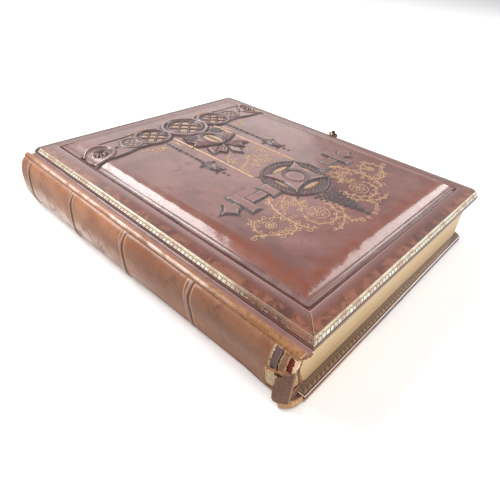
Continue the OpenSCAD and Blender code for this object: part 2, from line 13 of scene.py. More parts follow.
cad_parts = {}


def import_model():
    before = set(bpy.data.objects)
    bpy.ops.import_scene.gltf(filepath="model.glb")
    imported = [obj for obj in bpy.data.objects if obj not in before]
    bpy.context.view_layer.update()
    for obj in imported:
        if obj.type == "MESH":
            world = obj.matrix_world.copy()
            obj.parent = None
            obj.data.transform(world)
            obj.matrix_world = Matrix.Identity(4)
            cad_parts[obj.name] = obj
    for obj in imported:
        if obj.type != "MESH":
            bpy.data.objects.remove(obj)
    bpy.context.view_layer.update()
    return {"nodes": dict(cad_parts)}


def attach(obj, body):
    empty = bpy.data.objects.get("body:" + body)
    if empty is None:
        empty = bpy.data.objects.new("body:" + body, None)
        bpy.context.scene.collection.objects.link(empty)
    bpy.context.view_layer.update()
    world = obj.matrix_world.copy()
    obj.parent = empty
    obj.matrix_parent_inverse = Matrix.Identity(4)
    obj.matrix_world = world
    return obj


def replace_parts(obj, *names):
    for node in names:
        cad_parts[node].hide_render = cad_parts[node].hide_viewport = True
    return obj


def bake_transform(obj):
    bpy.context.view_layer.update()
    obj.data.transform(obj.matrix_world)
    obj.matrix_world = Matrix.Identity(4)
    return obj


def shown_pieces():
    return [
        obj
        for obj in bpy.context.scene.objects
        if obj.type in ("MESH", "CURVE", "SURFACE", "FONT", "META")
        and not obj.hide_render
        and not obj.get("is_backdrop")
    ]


MM = 0.001
LOG = logging.getLogger("photo_album")
BRASS_NODES = (
    "catch_plate", "catch_stud", "catch_nails", "hinge_plate", "hinge_nails", "clasp_pin", "hasp",
)
PAPER_NODES = ("front_pastedown", "back_pastedown")
Array = np.ndarray
Paint = tuple[float, float, float, float]
Points = Sequence[tuple[float, float]]
Shape = Callable[[Array, Array], Array]
Marks = Callable[[Array, Array], dict[str, Array]]
Socket = bpy.types.NodeSocket
Piece = bpy.types.Object
Material = bpy.types.Material


def tone(red: float, green: float, blue: float) -> Paint:
    """Turn an 8-bit display colour into the linear colour that a shader socket takes.

    Args:
        red, green, blue: Display values from 0 to 255.

    Returns:
        Linear red, green, blue and an alpha of 1.
    """
    linear = [((c / 255 + 0.055) / 1.055) ** 2.4 if c > 10 else c / 3295 for c in (red, green, blue)]
    return (linear[0], linear[1], linear[2], 1.0)


def ease(low: float, high: float, value: Array) -> Array:
    """Smooth step from 0 at low to 1 at high."""
    share = np.clip((value - low) / (high - low), 0, 1)
    return share * share * (3 - 2 * share)


def bell(value: Array, middle: Array | float, half: float) -> Array:
    """Smooth bump, 1 at the middle and about a third at half beside it."""
    return np.exp(-(((value - middle) / half) ** 2))


class Wave:
    """Seeded, smooth, repeatable unevenness for worn and torn outlines."""

    FINER = 1.55
    LOWER = 0.62
    LINE_GAIN = 1.6
    FIELD_GAIN = 1.8

    def __init__(self, seed: int, pitch: float, count: int = 9) -> None:
        """Draw the sines that make up the wave.

        Args:
            seed: Seed of the draw.
            pitch: Length of the longest sine, in millimetres.
            count: Number of sines, each shorter and lower than the last.
        """
        draw = np.random.default_rng(seed)
        self.rate = 2 * math.pi / pitch * self.FINER ** np.arange(count)
        self.phase = draw.uniform(0, 2 * math.pi, count)
        self.height = self.LOWER ** np.arange(count)
        self.turn = draw.uniform(0, 2 * math.pi, count)

    def line(self, run: Array) -> Array:
        """Height of the wave, about -1 to 1, at each distance along a line."""
        run = np.asarray(run, float)
        waves = np.sin(run[..., None] * self.rate + self.phase) * self.height
        return waves.sum(-1) / self.height.sum() * self.LINE_GAIN

    def field(self, x: Array, y: Array) -> Array:
        """Height of the wave, about -1 to 1, at each place on a sheet."""
        x, y = np.asarray(x)[..., None], np.asarray(y)[..., None]
        along = x * np.cos(self.turn) + y * np.sin(self.turn)
        waves = np.sin(along * self.rate + self.phase) * self.height
        return waves.sum(-1) / self.height.sum() * self.FIELD_GAIN


class Plan:
    """Distances in plan, in millimetres and negative inside a shape."""

    def __init__(self, x: Array, y: Array) -> None:
        """Keep the places that the distances are asked for."""
        self.x = np.asarray(x, float)
        self.y = np.asarray(y, float)

    def disc(self, cx: float, cy: float, radius: float) -> Array:
        """Distance to a disc."""
        return np.hypot(self.x - cx, self.y - cy) - radius

    def oval(self, cx: float, cy: float, half_x: float, half_y: float) -> Array:
        """Distance to an upright oval, near enough for a rounded edge."""
        u, v = (self.x - cx) / half_x, (self.y - cy) / half_y
        size = np.hypot(u, v)
        slope = np.hypot(u / half_x, v / half_y) / np.maximum(size, 1e-6)
        return (size - 1) / np.maximum(slope, 1e-6)

    def ring(self, cx: float, cy: float, outer: float, inner: float) -> Array:
        """Distance to a flat ring."""
        away = np.hypot(self.x - cx, self.y - cy)
        return np.abs(away - (outer + inner) / 2) - (outer - inner) / 2

    def box(self, cx: float, cy: float, half_x: float, half_y: float, turn: float = 0) -> Array:
        """Distance to a rectangle turned by an angle in degrees."""
        a = math.radians(turn)
        u = (self.x - cx) * math.cos(a) + (self.y - cy) * math.sin(a)
        v = (self.y - cy) * math.cos(a) - (self.x - cx) * math.sin(a)
        dx, dy = np.abs(u) - half_x, np.abs(v) - half_y
        return np.hypot(np.maximum(dx, 0), np.maximum(dy, 0)) + np.minimum(np.maximum(dx, dy), 0)

    def line(self, points: Points, width: float) -> Array:
        """Distance to a line of one width through the points."""
        best = np.full(self.x.shape, 1e9)
        for (ax, ay), (bx, by) in zip(points[:-1], points[1:]):
            px, py, dx, dy = self.x - ax, self.y - ay, bx - ax, by - ay
            share = np.clip((px * dx + py * dy) / max(dx * dx + dy * dy, 1e-9), 0, 1)
            best = np.minimum(best, np.hypot(px - share * dx, py - share * dy))
        return best - width / 2

    def outline(self, points: Points) -> Array:
        """Distance to a closed outline."""
        closed = list(points) + [points[0]]
        inside = np.zeros(self.x.shape, bool)
        for (ax, ay), (bx, by) in zip(closed[:-1], closed[1:]):
            if ay == by:
                continue
            crosses = (ay > self.y) != (by > self.y)
            inside ^= crosses & (self.x < (bx - ax) * (self.y - ay) / (by - ay) + ax)
        return np.where(inside, -1, 1) * (self.line(closed, 0))


def hollow(points: Points, depth: float, steps: int = 6) -> list[tuple[float, float]]:
    """Bend each side of a closed outline inward.

    Args:
        points: Corners, running anticlockwise.
        depth: Share of each side's length that its middle moves inward.
        steps: Short lines for each side.

    Returns:
        The bent outline.
    """
    bent = []
    for (ax, ay), (bx, by) in zip(points, list(points[1:]) + [points[0]]):
        for i in range(steps):
            s = i / steps
            sag = 4 * s * (1 - s) * depth
            bent.append((ax + (bx - ax) * s - (by - ay) * sag, ay + (by - ay) * s + (bx - ax) * sag))
    return bent


class Stain(Enum):
    """How dark stain lies on a raised shape."""

    NONE = 0
    EDGE = 1
    WHOLE = 2


class Relief:
    """Height, stain and gilding of one ornament, gathered shape by shape."""

    MOAT = 0.8
    LIFT = 1.45

    def __init__(self, x: Array, y: Array) -> None:
        """Start from bare leather at these places."""
        self.plan = Plan(np.abs(x), y)
        self.height = np.zeros(np.shape(x))
        self.ink = np.zeros(np.shape(x))
        self.gilt = np.zeros(np.shape(x))
        # Worn arrises, and the painted highlights laid by glint().
        self.worn = np.zeros(np.shape(x))
        self.reach = np.full(np.shape(x), 1e9)

    def press(
        self,
        shape: Array,
        top: float,
        slope: float = 0.9,
        width: float = 0.9,
        face: float = 0.0,
        stain: Stain = Stain.EDGE,
    ) -> None:
        """Raise a shape over what lies under it.

        Args:
            shape: Distances to the shape.
            top: Height of its flat top.
            slope: Width of its sloping side.
            width: Width of the stain inside the edge.
            face: Share of stain on the flat top.
            stain: Where the dark stain lies.
        """
        self.height = np.maximum(self.height, top * ease(0, slope, -shape))
        core = ease(0.0, -0.7, shape)
        moat = ease(self.MOAT, self.MOAT - 0.5, shape)
        if stain is Stain.WHOLE:
            own = moat
        elif stain is Stain.EDGE:
            own = np.maximum(ease(-width - 0.4, -width + 0.1, shape), face) * moat
            arris = bell(shape, -slope - 0.25, 0.35)
            self.worn = np.maximum(self.worn * (1 - core), arris)
        else:
            own = np.zeros(shape.shape)
        self.ink = np.maximum(self.ink * (1 - core), own)
        self.gilt *= 1 - (moat if stain is not Stain.NONE else core)
        self.reach = np.minimum(self.reach, shape)

    def sink(self, shape: Array, depth: float, slope: float = 0.5, ink: float = 0.0) -> None:
        """Press a shape into what lies under it and stain it."""
        inside = ease(0, slope, -shape)
        self.height -= depth * inside
        self.ink = np.maximum(self.ink, ink * inside)
        self.gilt *= 1 - ink * inside
        self.reach = np.minimum(self.reach, shape)

    def glint(self, spots: Points, radius: float = 0.8, strength: float = 1.8) -> None:
        """Paint highlights on the raised places: bright spots that lift the stain under them."""
        for x, y in spots:
            near = self.plan.disc(x, y, radius)
            self.worn = np.maximum(self.worn, strength * ease(0.1, -radius * 0.7, near))
            self.ink *= 1 - 0.8 * ease(0.0, -radius * 0.7, near)

    def gild(self, shape: Array, lift: float = 0.12) -> None:
        """Lay gold on a shape."""
        inside = ease(0.15, -0.25, shape)
        self.gilt = np.maximum(self.gilt, inside)
        self.ink *= 1 - inside
        self.height += lift * ease(0.1, -0.5, shape)
        self.reach = np.minimum(self.reach, shape)

    def proud(self) -> Array:
        """Height over the cover, falling under it beyond the ornament."""
        return self.LIFT * self.height + 0.05 - 0.6 * ease(self.MOAT, self.MOAT + 0.6, self.reach)


def deselect() -> None:
    """Leave edit mode and deselect everything."""
    if bpy.context.object and bpy.context.object.mode != "OBJECT":
        bpy.ops.object.mode_set(mode="OBJECT")
    bpy.ops.object.select_all(action="DESELECT")


def activate(piece: Piece) -> None:
    """Make a piece the active one and the only one selected."""
    deselect()
    piece.select_set(True)
    bpy.context.view_layer.objects.active = piece


def named(name: str) -> Piece:
    """Name the active object and its mesh."""
    made = bpy.context.object
    made.name = made.data.name = name
    return made


def settle(piece: Piece) -> Piece:
    """Apply a piece's place to its mesh."""
    activate(piece)
    bpy.ops.object.transform_apply(location=True, rotation=True, scale=True)
    return piece


def points_of(piece: Piece) -> Array:
    """Places of a piece's vertices, in millimetres."""
    flat = np.empty(len(piece.data.vertices) * 3, np.float32)
    piece.data.vertices.foreach_get("co", flat)
    return flat.reshape(-1, 3).astype(float) / MM


def put_points(piece: Piece, places: Array) -> None:
    """Move a piece's vertices to places in millimetres."""
    piece.data.vertices.foreach_set("co", (places * MM).astype(np.float32).ravel())
    piece.data.update()


def mark(piece: Piece, name: str, values: Array) -> None:
    """Keep one number per vertex for the piece's material."""
    layer = piece.data.attributes.new(name, "FLOAT", "POINT")
    layer.data.foreach_set("value", np.asarray(values, np.float32))


def grid(name: str, columns: int, rows: int, across: float, along: float) -> Piece:
    """Add a flat grid of faces, in millimetres, centred on the origin.

    Args:
        name: Name of the piece.
        columns, rows: Number of faces each way.
        across, along: Size along X and Y.

    Returns:
        The grid, with its size in its mesh.
    """
    deselect()
    bpy.ops.mesh.primitive_grid_add(x_subdivisions=columns, y_subdivisions=rows, size=1)
    piece = named(name)
    piece.scale = (across * MM, along * MM, 1)
    return settle(piece)


def shaped(piece: Piece, shape: Shape) -> Piece:
    """Lay a flat grid on a form.

    Args:
        piece: A grid made by grid().
        shape: Gives the place of each point of the grid from its X and Y.

    Returns:
        The same piece.
    """
    flat = points_of(piece)
    put_points(piece, shape(flat[:, 0], flat[:, 1]))
    return piece


def drop(piece: Piece, gone: Array) -> None:
    """Delete the vertices where gone is true, with their faces."""
    activate(piece)
    bpy.ops.object.mode_set(mode="EDIT")
    bpy.ops.mesh.select_all(action="DESELECT")
    bpy.ops.object.mode_set(mode="OBJECT")
    piece.data.vertices.foreach_set("select", gone)
    bpy.ops.object.mode_set(mode="EDIT")
    bpy.ops.mesh.delete(type="VERT")
    bpy.ops.object.mode_set(mode="OBJECT")


def modify(piece: Piece, kind: str, **settings: object) -> None:
    """Add a modifier with these settings and apply it."""
    activate(piece)
    modifier = piece.modifiers.new(kind.title(), kind)
    for key, value in settings.items():
        setattr(modifier, key, value)
    bpy.ops.object.modifier_apply(modifier=modifier.name)


def smooth(piece: Piece, angle: float = 35) -> None:
    """Shade a piece smooth, with edges over the angle in degrees left sharp."""
    activate(piece)
    bpy.ops.object.shade_smooth_by_angle(angle=math.radians(angle))


def outward(piece: Piece) -> None:
    """Merge doubles and turn the faces of a closed piece outwards."""
    activate(piece)
    bpy.ops.object.mode_set(mode="EDIT")
    bpy.ops.mesh.select_all(action="SELECT")
    bpy.ops.mesh.remove_doubles(threshold=1e-7)
    bpy.ops.mesh.normals_make_consistent(inside=False)
    bpy.ops.object.mode_set(mode="OBJECT")


def cap(piece: Piece) -> None:
    """Merge the seam of a swept piece and close its open rims."""
    outward(piece)
    activate(piece)
    bpy.ops.object.mode_set(mode="EDIT")
    bpy.ops.mesh.select_all(action="DESELECT")
    bpy.ops.mesh.select_mode(type="EDGE")
    bpy.ops.mesh.select_non_manifold()
    bpy.ops.mesh.fill_holes(sides=0)
    bpy.ops.mesh.select_mode(type="VERT")
    bpy.ops.object.mode_set(mode="OBJECT")
    outward(piece)


def dress(piece: Piece, material: Material) -> None:
    """Give a piece one material in place of any that it has."""
    faces = piece.data.polygons
    faces.foreach_set("material_index", np.zeros(len(faces), np.int32))
    piece.data.materials.clear()
    piece.data.materials.append(material)


class Shade:
    """Builds the nodes of one material, with places in millimetres."""

    def __init__(self, name: str) -> None:
        """Start an empty material."""
        self.material = bpy.data.materials.new(name)
        self.material.use_nodes = True
        self.tree = self.material.node_tree
        self.tree.nodes.clear()

    def node(
        self, kind: str, inputs: dict[int | str, object] | None = None, **settings: object
    ) -> bpy.types.Node:
        """Add a node.

        Args:
            kind: Node type without its ShaderNode prefix.
            inputs: A number, colour or output socket for each named or numbered input.
            settings: The node's own settings.

        Returns:
            The new node.
        """
        made = self.tree.nodes.new("ShaderNode" + kind)
        for key, value in settings.items():
            setattr(made, key, value)
        for key, value in (inputs or {}).items():
            if isinstance(value, Socket):
                self.tree.links.new(value, made.inputs[key])
            else:
                made.inputs[key].default_value = value
        return made

    def place(self, stretch: tuple[float, float, float] = (1, 1, 1)) -> Socket:
        """Object coordinates in millimetres, stretched along each axis."""
        source = self.node("TexCoord").outputs["Object"]
        scale = tuple(s / MM for s in stretch)
        return self.node("Mapping", {"Vector": source, "Scale": scale}).outputs[0]

    def axes(self, vector: Socket) -> list[Socket]:
        """X, Y and Z of a vector."""
        return list(self.node("SeparateXYZ", {0: vector}).outputs)

    def run(self) -> Socket:
        """Distance round the board, kept in the first part of the mesh's UV."""
        return self.axes(self.node("UVMap").outputs[0])[0]

    def layer(self, name: str) -> Socket:
        """A number kept on the mesh, 0 where the mesh has none."""
        return self.node("Attribute", attribute_name=name).outputs["Fac"]

    def noise(
        self,
        vector: Socket,
        scale: float,
        detail: float = 4,
        rough: float = 0.55,
        bend: float = 0.0,
    ) -> Socket:
        """Cloudy noise with features 1 / scale millimetres wide."""
        inputs = {"Vector": vector, "Scale": scale, "Detail": detail, "Roughness": rough, "Distortion": bend}
        return self.node("TexNoise", inputs).outputs["Fac"]

    def cells(self, vector: Socket, scale: float) -> Socket:
        """Distance pattern of scattered cells."""
        return self.node("TexVoronoi", {"Vector": vector, "Scale": scale}).outputs["Distance"]

    def math(self, operation: str, *values: object, clamp: bool = False) -> Socket:
        """Arithmetic on numbers or sockets."""
        return self.node("Math", dict(enumerate(values)), operation=operation, use_clamp=clamp).outputs[0]

    def step(
        self, value: object, low: float, high: float, start: object = 0.0, end: object = 1.0
    ) -> Socket:
        """Smooth step from start at low to end at high."""
        inputs = {0: value, 1: low, 2: high, 3: start, 4: end}
        return self.node("MapRange", inputs, interpolation_type="SMOOTHSTEP").outputs[0]

    def times(self, first: object, *others: object) -> Socket:
        """Product of numbers or sockets."""
        for other in others:
            first = self.math("MULTIPLY", first, other)
        return first

    def cycle(self, run: object, pitch: float, shift: object = 0.0) -> Socket:
        """Place within a repeat, from -0.5 to 0.5."""
        turns = self.math("ADD", self.math("DIVIDE", run, pitch), shift)
        return self.math("SUBTRACT", self.math("FRACT", turns), 0.5)

    def band(self, value: object, middle: float, half: float, soft: float) -> Socket:
        """1 within half of the middle, falling to 0 over the soft width."""
        away = self.math("ABSOLUTE", self.math("SUBTRACT", value, middle))
        return self.step(away, half + soft, half)

    def ramp(self, value: object, *stops: tuple[float, tuple[float, ...]]) -> Socket:
        """Colours along a number."""
        made = self.node("ValToRGB", {0: value})
        band = made.color_ramp
        while len(band.elements) < len(stops):
            band.elements.new(0.5)
        for element, (place, colour) in zip(band.elements, stops):
            element.position, element.color = place, colour
        return made.outputs[0]

    def mix(self, share: object, first: object, second: object) -> Socket:
        """Mix two colours."""
        made = self.node("Mix", data_type="RGBA", blend_type="MIX", clamp_factor=True)
        for slot, value in ((0, share), (6, first), (7, second)):
            if isinstance(value, Socket):
                self.tree.links.new(value, made.inputs[slot])
            else:
                made.inputs[slot].default_value = value
        return made.outputs[2]

    def bump(self, *layers: tuple[object, float]) -> Socket:
        """Bump from several heights, each with its depth in millimetres."""
        normal = None
        for height, depth in layers:
            inputs = {"Height": height, "Distance": depth * MM, "Strength": 1.0}
            if normal is not None:
                inputs["Normal"] = normal
            normal = self.node("Bump", inputs).outputs[0]
        return normal

    def finish(self, **inputs: object) -> Material:
        """Join the inputs to the shader and return the material.

        Args:
            inputs: Socket names in lower case with low lines for blanks, and their values.

        Returns:
            The finished material.
        """
        named_inputs = {
            key.replace("_", " ").title().replace("Ior", "IOR"): value for key, value in inputs.items()
        }
        shader = self.node("BsdfPrincipled", named_inputs)
        self.node("OutputMaterial", {"Surface": shader.outputs[0]})
        return self.material


@dataclass(frozen=True)
class Leather:
    """Polished calf, mottled and worn, with stain, gold and painted highlights placed by the mesh.

    The mesh may carry the numbers ink (dark stain), gilt (gold), rim (warm tint), raw (torn
    fibre), band (mauve band), age (darkened) and the rub mark (wear and painted highlights),
    each from 0 to 1.
    """

    name: str
    base: Paint
    cloud: Paint
    dark: Paint
    warm: Paint
    # Colour of wear and of painted highlights, laid where the rub mark says so.
    worn: Paint
    roughness: float = 0.42
    grain: float = 1.0
    polish: float = 0.9

    def colours(self, shade: Shade, place: Socket) -> Socket:
        """Mottled leather, warmed, worn and lit by painted highlights where the mesh says so."""
        broad = shade.noise(place, 0.018, 5, 0.6, 0.8)
        fine = shade.noise(place, 0.09, 8, 0.64, 0.5)
        colour = shade.mix(shade.step(broad, 0.38, 0.64), self.base, self.cloud)
        warmth = shade.math("ADD", shade.layer("rim"), shade.step(fine, 0.4, 0.75, -0.35, 0.35), clamp=True)
        warmth = shade.times(warmth, shade.step(shade.layer("rim"), 0.0, 0.35))
        colour = shade.mix(warmth, colour, self.warm)
        stain = shade.times(shade.step(fine, 0.52, 0.74), shade.step(broad, 0.66, 0.4))
        colour = shade.mix(shade.times(stain, 0.75), colour, self.dark)
        fleck = shade.step(shade.noise(place, 0.5, 3, 0.7), 0.62, 0.8, 0.0, 0.4)
        colour = shade.mix(fleck, colour, self.dark)
        colour = shade.mix(shade.layer("age"), colour, self.dark)
        # Rub mark: wear, and painted highlights (glints, the ridge's line, the floor's sheen).
        rub = shade.times(shade.layer("rub"), shade.step(fine, 0.32, 0.6))
        return shade.mix(rub, colour, self.worn)

    def tooled(self, shade: Shade, colour: Socket) -> tuple[Socket, Socket]:
        """Colour with its tooling, and where gold lies; plain leather has only the mesh's gold."""
        return colour, shade.layer("gilt")

    def marked(self, shade: Shade, colour: Socket, place: Socket, speck: Socket) -> Socket:
        """Mauve band, torn fibre and dark stain over the leather, where the mesh says so."""
        raw = shade.layer("raw")
        colour = shade.mix(shade.layer("band"), colour, tone(104, 82, 82))
        patch = shade.noise(place, 0.4, 5, 0.6)
        fibre = shade.ramp(
            patch, (0.34, tone(132, 90, 56)), (0.5, tone(160, 112, 70)), (0.68, tone(184, 136, 92))
        )
        fibre = shade.mix(shade.step(raw, 0.82, 1.0, 0.0, 0.55), fibre, tone(232, 192, 146))
        colour = shade.mix(raw, colour, fibre)
        stain = shade.ramp(
            speck, (0.3, tone(56, 49, 50)), (0.5, tone(79, 72, 73)), (0.72, tone(114, 107, 108))
        )
        return shade.mix(shade.times(shade.layer("ink"), 0.9), colour, stain)

    def build(self) -> Material:
        """Make the material."""
        shade = Shade(self.name)
        place = shade.place()
        speck = shade.noise(place, 1.3, 4, 0.65)
        colour, gilt = self.tooled(shade, self.colours(shade, place))
        colour = self.marked(shade, colour, place, speck)
        worn_gold = shade.times(shade.step(gilt, 0.3, 0.6), shade.step(speck, 0.26, 0.42))
        gold = shade.ramp(
            speck, (0.32, tone(142, 106, 78)), (0.5, tone(186, 144, 104)), (0.7, tone(218, 176, 132))
        )
        pores = shade.cells(place, 1.5 / self.grain)
        crease = shade.noise(place, 0.45 / self.grain, 5, 0.6, 0.4)
        swell = shade.noise(place, 0.05, 3, 0.5)
        rough = shade.step(crease, 0.3, 0.7, self.roughness - 0.07, self.roughness + 0.07)
        dull = shade.math("ADD", shade.layer("raw"), shade.times(shade.layer("ink"), 0.7), clamp=True)
        return shade.finish(
            base_color=shade.mix(worn_gold, colour, gold),
            roughness=shade.math("ADD", rough, shade.times(dull, 0.35)),
            metallic=shade.times(worn_gold, 0.4),
            specular_ior_level=0.3,
            normal=shade.bump((pores, 0.012), (crease, 0.05), (speck, 0.02), (swell, 0.25)),
            coat_weight=shade.times(self.polish, shade.math("SUBTRACT", 1.0, dull, clamp=True)),
            coat_roughness=0.13,
        )


@dataclass(frozen=True)
class RolledLeather(Leather):
    """Board leather with a gilt roll on its bevel and fillets on its moulding."""

    bevel: tuple[float, float] = (0.3, 3.1)
    pitch: float = 3.7
    half_w: float = 118.0
    half_l: float = 150.0

    def tooled(self, shade: Shade, colour: Socket) -> tuple[Socket, Socket]:
        """Gilt roll on the bevel, then the moulding with its mitres and thin lines."""
        on_top = shade.step(shade.layer("rise"), 3.5, 3.62)
        for layer in (self.roll, self.moulding, self.mitres, self.lines):
            colour = layer(shade, colour, on_top)
        return colour, shade.layer("gilt")

    def roll(self, shade: Shade, colour: Socket, on_top: Socket) -> Socket:
        """Outer row of bright beads and inner row of pale lozenges, worn off beside the torn tail."""
        low, high = self.bevel
        west = shade.layer("west")
        share = shade.math("DIVIDE", shade.math("SUBTRACT", shade.layer("inset"), low), high - low)
        slant = shade.times(share, west, -0.4)
        across = shade.math("ABSOLUTE", shade.cycle(shade.run(), self.pitch, slant))
        beads = shade.times(shade.step(across, 0.45, 0.38), shade.band(share, 0.28, 0.2, 0.06))
        weave = shade.math("ADD", share, shade.times(across, 0.3))
        pale = shade.times(shade.step(weave, 0.66, 0.74), shade.step(share, 0.97, 0.9))
        notch = shade.times(shade.step(across, 0.36, 0.46), shade.step(share, 0.86, 0.74))
        pale = shade.times(pale, shade.math("SUBTRACT", 1.0, shade.times(notch, 0.5)))
        worn_end = shade.times(shade.step(shade.axes(shade.place())[1], -72, -118), west)
        field = shade.times(shade.band(share, 0.5, 0.5, 0.05), on_top)
        field = shade.times(field, shade.step(worn_end, 0.1, 0.9, 1.0, 0.3))
        ground = shade.mix(shade.step(share, 0.5, 0.6), tone(78, 58, 44), tone(158, 138, 104))
        colour = shade.mix(field, colour, ground)
        lost = shade.step(shade.noise(shade.place(), 0.35, 4, 0.6), 0.6, 0.74, 1.0, 0.7)
        scraps = shade.step(shade.noise(shade.place((1, 0.5, 1)), 0.9, 3, 0.6), 0.52, 0.6, 0.08, 0.75)
        lost = shade.step(worn_end, 0.1, 0.9, lost, scraps)
        colour = shade.mix(shade.times(beads, field, lost), colour, tone(250, 244, 228))
        return shade.mix(shade.times(pale, field, lost), colour, tone(240, 226, 188))

    def moulding(self, shade: Shade, colour: Socket, on_top: Socket) -> Socket:
        """Light fillet beside the roll, brown streaks inside it and mauve towards the groove."""
        inset = shade.layer("inset")
        streak = shade.noise(shade.place((0.12, 0.12, 0.12)), 1.0, 5, 0.62, 0.9)
        outer = shade.times(shade.step(inset, 11.0, 6.5), shade.step(streak, 0.42, 0.6))
        for where, strength, paint in (
            (shade.band(inset, 3.25, 0.2, 0.15), 0.35, tone(214, 192, 176)),
            (shade.step(inset, 7.5, 13.0), 0.7, tone(136, 100, 98)),
            (outer, 0.55, tone(164, 106, 80)),
        ):
            colour = shade.mix(shade.times(where, on_top, strength), colour, paint)
        return colour

    def mitres(self, shade: Shade, colour: Socket, on_top: Socket) -> Socket:
        """Dark cut along each mitre with a painted highlight on its lip, and painted shade at the head."""
        at_x, at_y = shade.axes(shade.place())[:2]
        from_x = shade.math("SUBTRACT", self.half_w, shade.math("ABSOLUTE", at_x))
        from_y = shade.math("SUBTRACT", self.half_l, shade.math("ABSOLUTE", at_y))
        mitre = shade.math("SUBTRACT", from_x, from_y)
        inner = shade.times(shade.step(shade.layer("inset"), 0.6, 1.2), on_top)
        # Painted highlight on the lip beside each mitre, then the mitre's dark cut.
        for middle, half, strength, paint in (
            (0.75, 0.25, 0.6, tone(196, 152, 116)),
            (0.0, 0.2, 0.9, tone(66, 54, 54)),
        ):
            where = shade.times(shade.band(mitre, middle, half, 0.2), inner, strength)
            colour = shade.mix(where, colour, paint)
        # Painted shade: the moulding's far edge at the head, which faces away from the lamps.
        head = shade.times(shade.step(at_y, 143.2, 143.9), on_top, 0.9)
        return shade.mix(head, colour, tone(58, 42, 46))

    def lines(self, shade: Shade, colour: Socket, on_top: Socket) -> Socket:
        """Thin lines along the moulding, and two more round the board's edge."""
        inset, rise = shade.layer("inset"), shade.layer("rise")
        edge = shade.step(inset, 0.5, 0.2)
        for value, mask, middle, half, soft, strength, paint in (
            (inset, on_top, 3.75, 0.1, 0.2, 0.35, self.dark),
            (inset, on_top, 14.7, 0.22, 0.2, 0.6, tone(196, 152, 132)),
            (inset, on_top, 15.2, 0.12, 0.2, 0.8, self.dark),
            (rise, edge, 3.45, 0.16, 0.1, 0.85, self.dark),
            (rise, edge, 2.95, 0.12, 0.1, 0.85, tone(216, 178, 164)),
        ):
            where = shade.times(shade.band(value, middle, half, soft), mask, strength)
            colour = shade.mix(where, colour, paint)
        return colour


@dataclass(frozen=True)
class TurnInLeather(Leather):
    """Back board leather with a tooled turn-in inside and fillets on its edge."""

    thick: float = 3.7

    def tooled(self, shade: Shade, colour: Socket) -> tuple[Socket, Socket]:
        """Row of triangles along the edge, a lattice inside it, lines on the board's edge."""
        inset, rise, run = shade.layer("inset"), shade.layer("rise"), shade.run()
        inside = shade.step(rise, self.thick - 0.2, self.thick - 0.08)
        colour = shade.mix(shade.times(inside, shade.step(inset, 1.9, 2.2)), colour, tone(100, 82, 70))
        across = shade.math("ABSOLUTE", shade.cycle(run, 4.4))
        height = shade.math("DIVIDE", shade.math("SUBTRACT", inset, 2.5), 2.3)
        wedge = shade.step(shade.math("ADD", height, shade.times(across, 2.2)), 1.0, 0.88)
        wedge = shade.times(wedge, shade.step(inset, 2.3, 2.5))
        cross_run = shade.math("ABSOLUTE", shade.cycle(run, 2.2, shade.math("DIVIDE", inset, 2.4)))
        cross_back = shade.math("ABSOLUTE", shade.cycle(run, 2.2, shade.math("DIVIDE", inset, -2.4)))
        net = shade.math("MAXIMUM", shade.step(cross_run, 0.36, 0.44), shade.step(cross_back, 0.36, 0.44))
        net = shade.times(net, shade.band(inset, 6.4, 1.5, 0.2))
        stamps = shade.times(shade.math("MAXIMUM", wedge, net), inside)
        grit = shade.step(shade.noise(shade.place(), 1.6, 3, 0.6), 0.35, 0.62, 0.35, 0.9)
        faded = shade.times(stamps, grit)
        colour = shade.mix(faded, colour, tone(172, 138, 112))
        edge_line = shade.times(shade.band(inset, 1.0, 0.24, 0.16), inside)
        colour = shade.mix(edge_line, colour, tone(236, 220, 212))
        for at in (1.6, 0.45):
            dark_line = shade.times(shade.band(inset, at, 0.16, 0.14), inside)
            colour = shade.mix(dark_line, colour, tone(72, 50, 50))
        low_edge = shade.times(shade.step(rise, self.thick - 0.5, self.thick - 0.9), shade.layer("worn"))
        colour = shade.mix(low_edge, colour, tone(220, 172, 128))
        return colour, shade.times(stamps, 0.15)


@dataclass(frozen=True)
class BandedLeather(Leather):
    """Spine leather with tooled lines on and beside each raised band."""

    pitch: float = 68.25

    def tooled(self, shade: Shade, colour: Socket) -> tuple[Socket, Socket]:
        """Light middle, two dark lines and two worn gold lines on each band."""
        at_y = shade.axes(shade.place())[1]
        away = shade.times(shade.math("ABSOLUTE", shade.cycle(at_y, self.pitch, 0.5)), self.pitch)
        lines = (
            (0.0, 0.75, 0.45, tone(198, 168, 160)),
            (1.95, 0.45, 0.8, tone(98, 68, 60)),
            (3.1, 0.24, 0.7, tone(228, 182, 138)),
        )
        for middle, half, strength, tint in lines:
            share = shade.times(shade.band(away, middle, half, 0.4), shade.layer("between"), strength)
            colour = shade.mix(share, colour, tint)
        return colour, shade.layer("gilt")


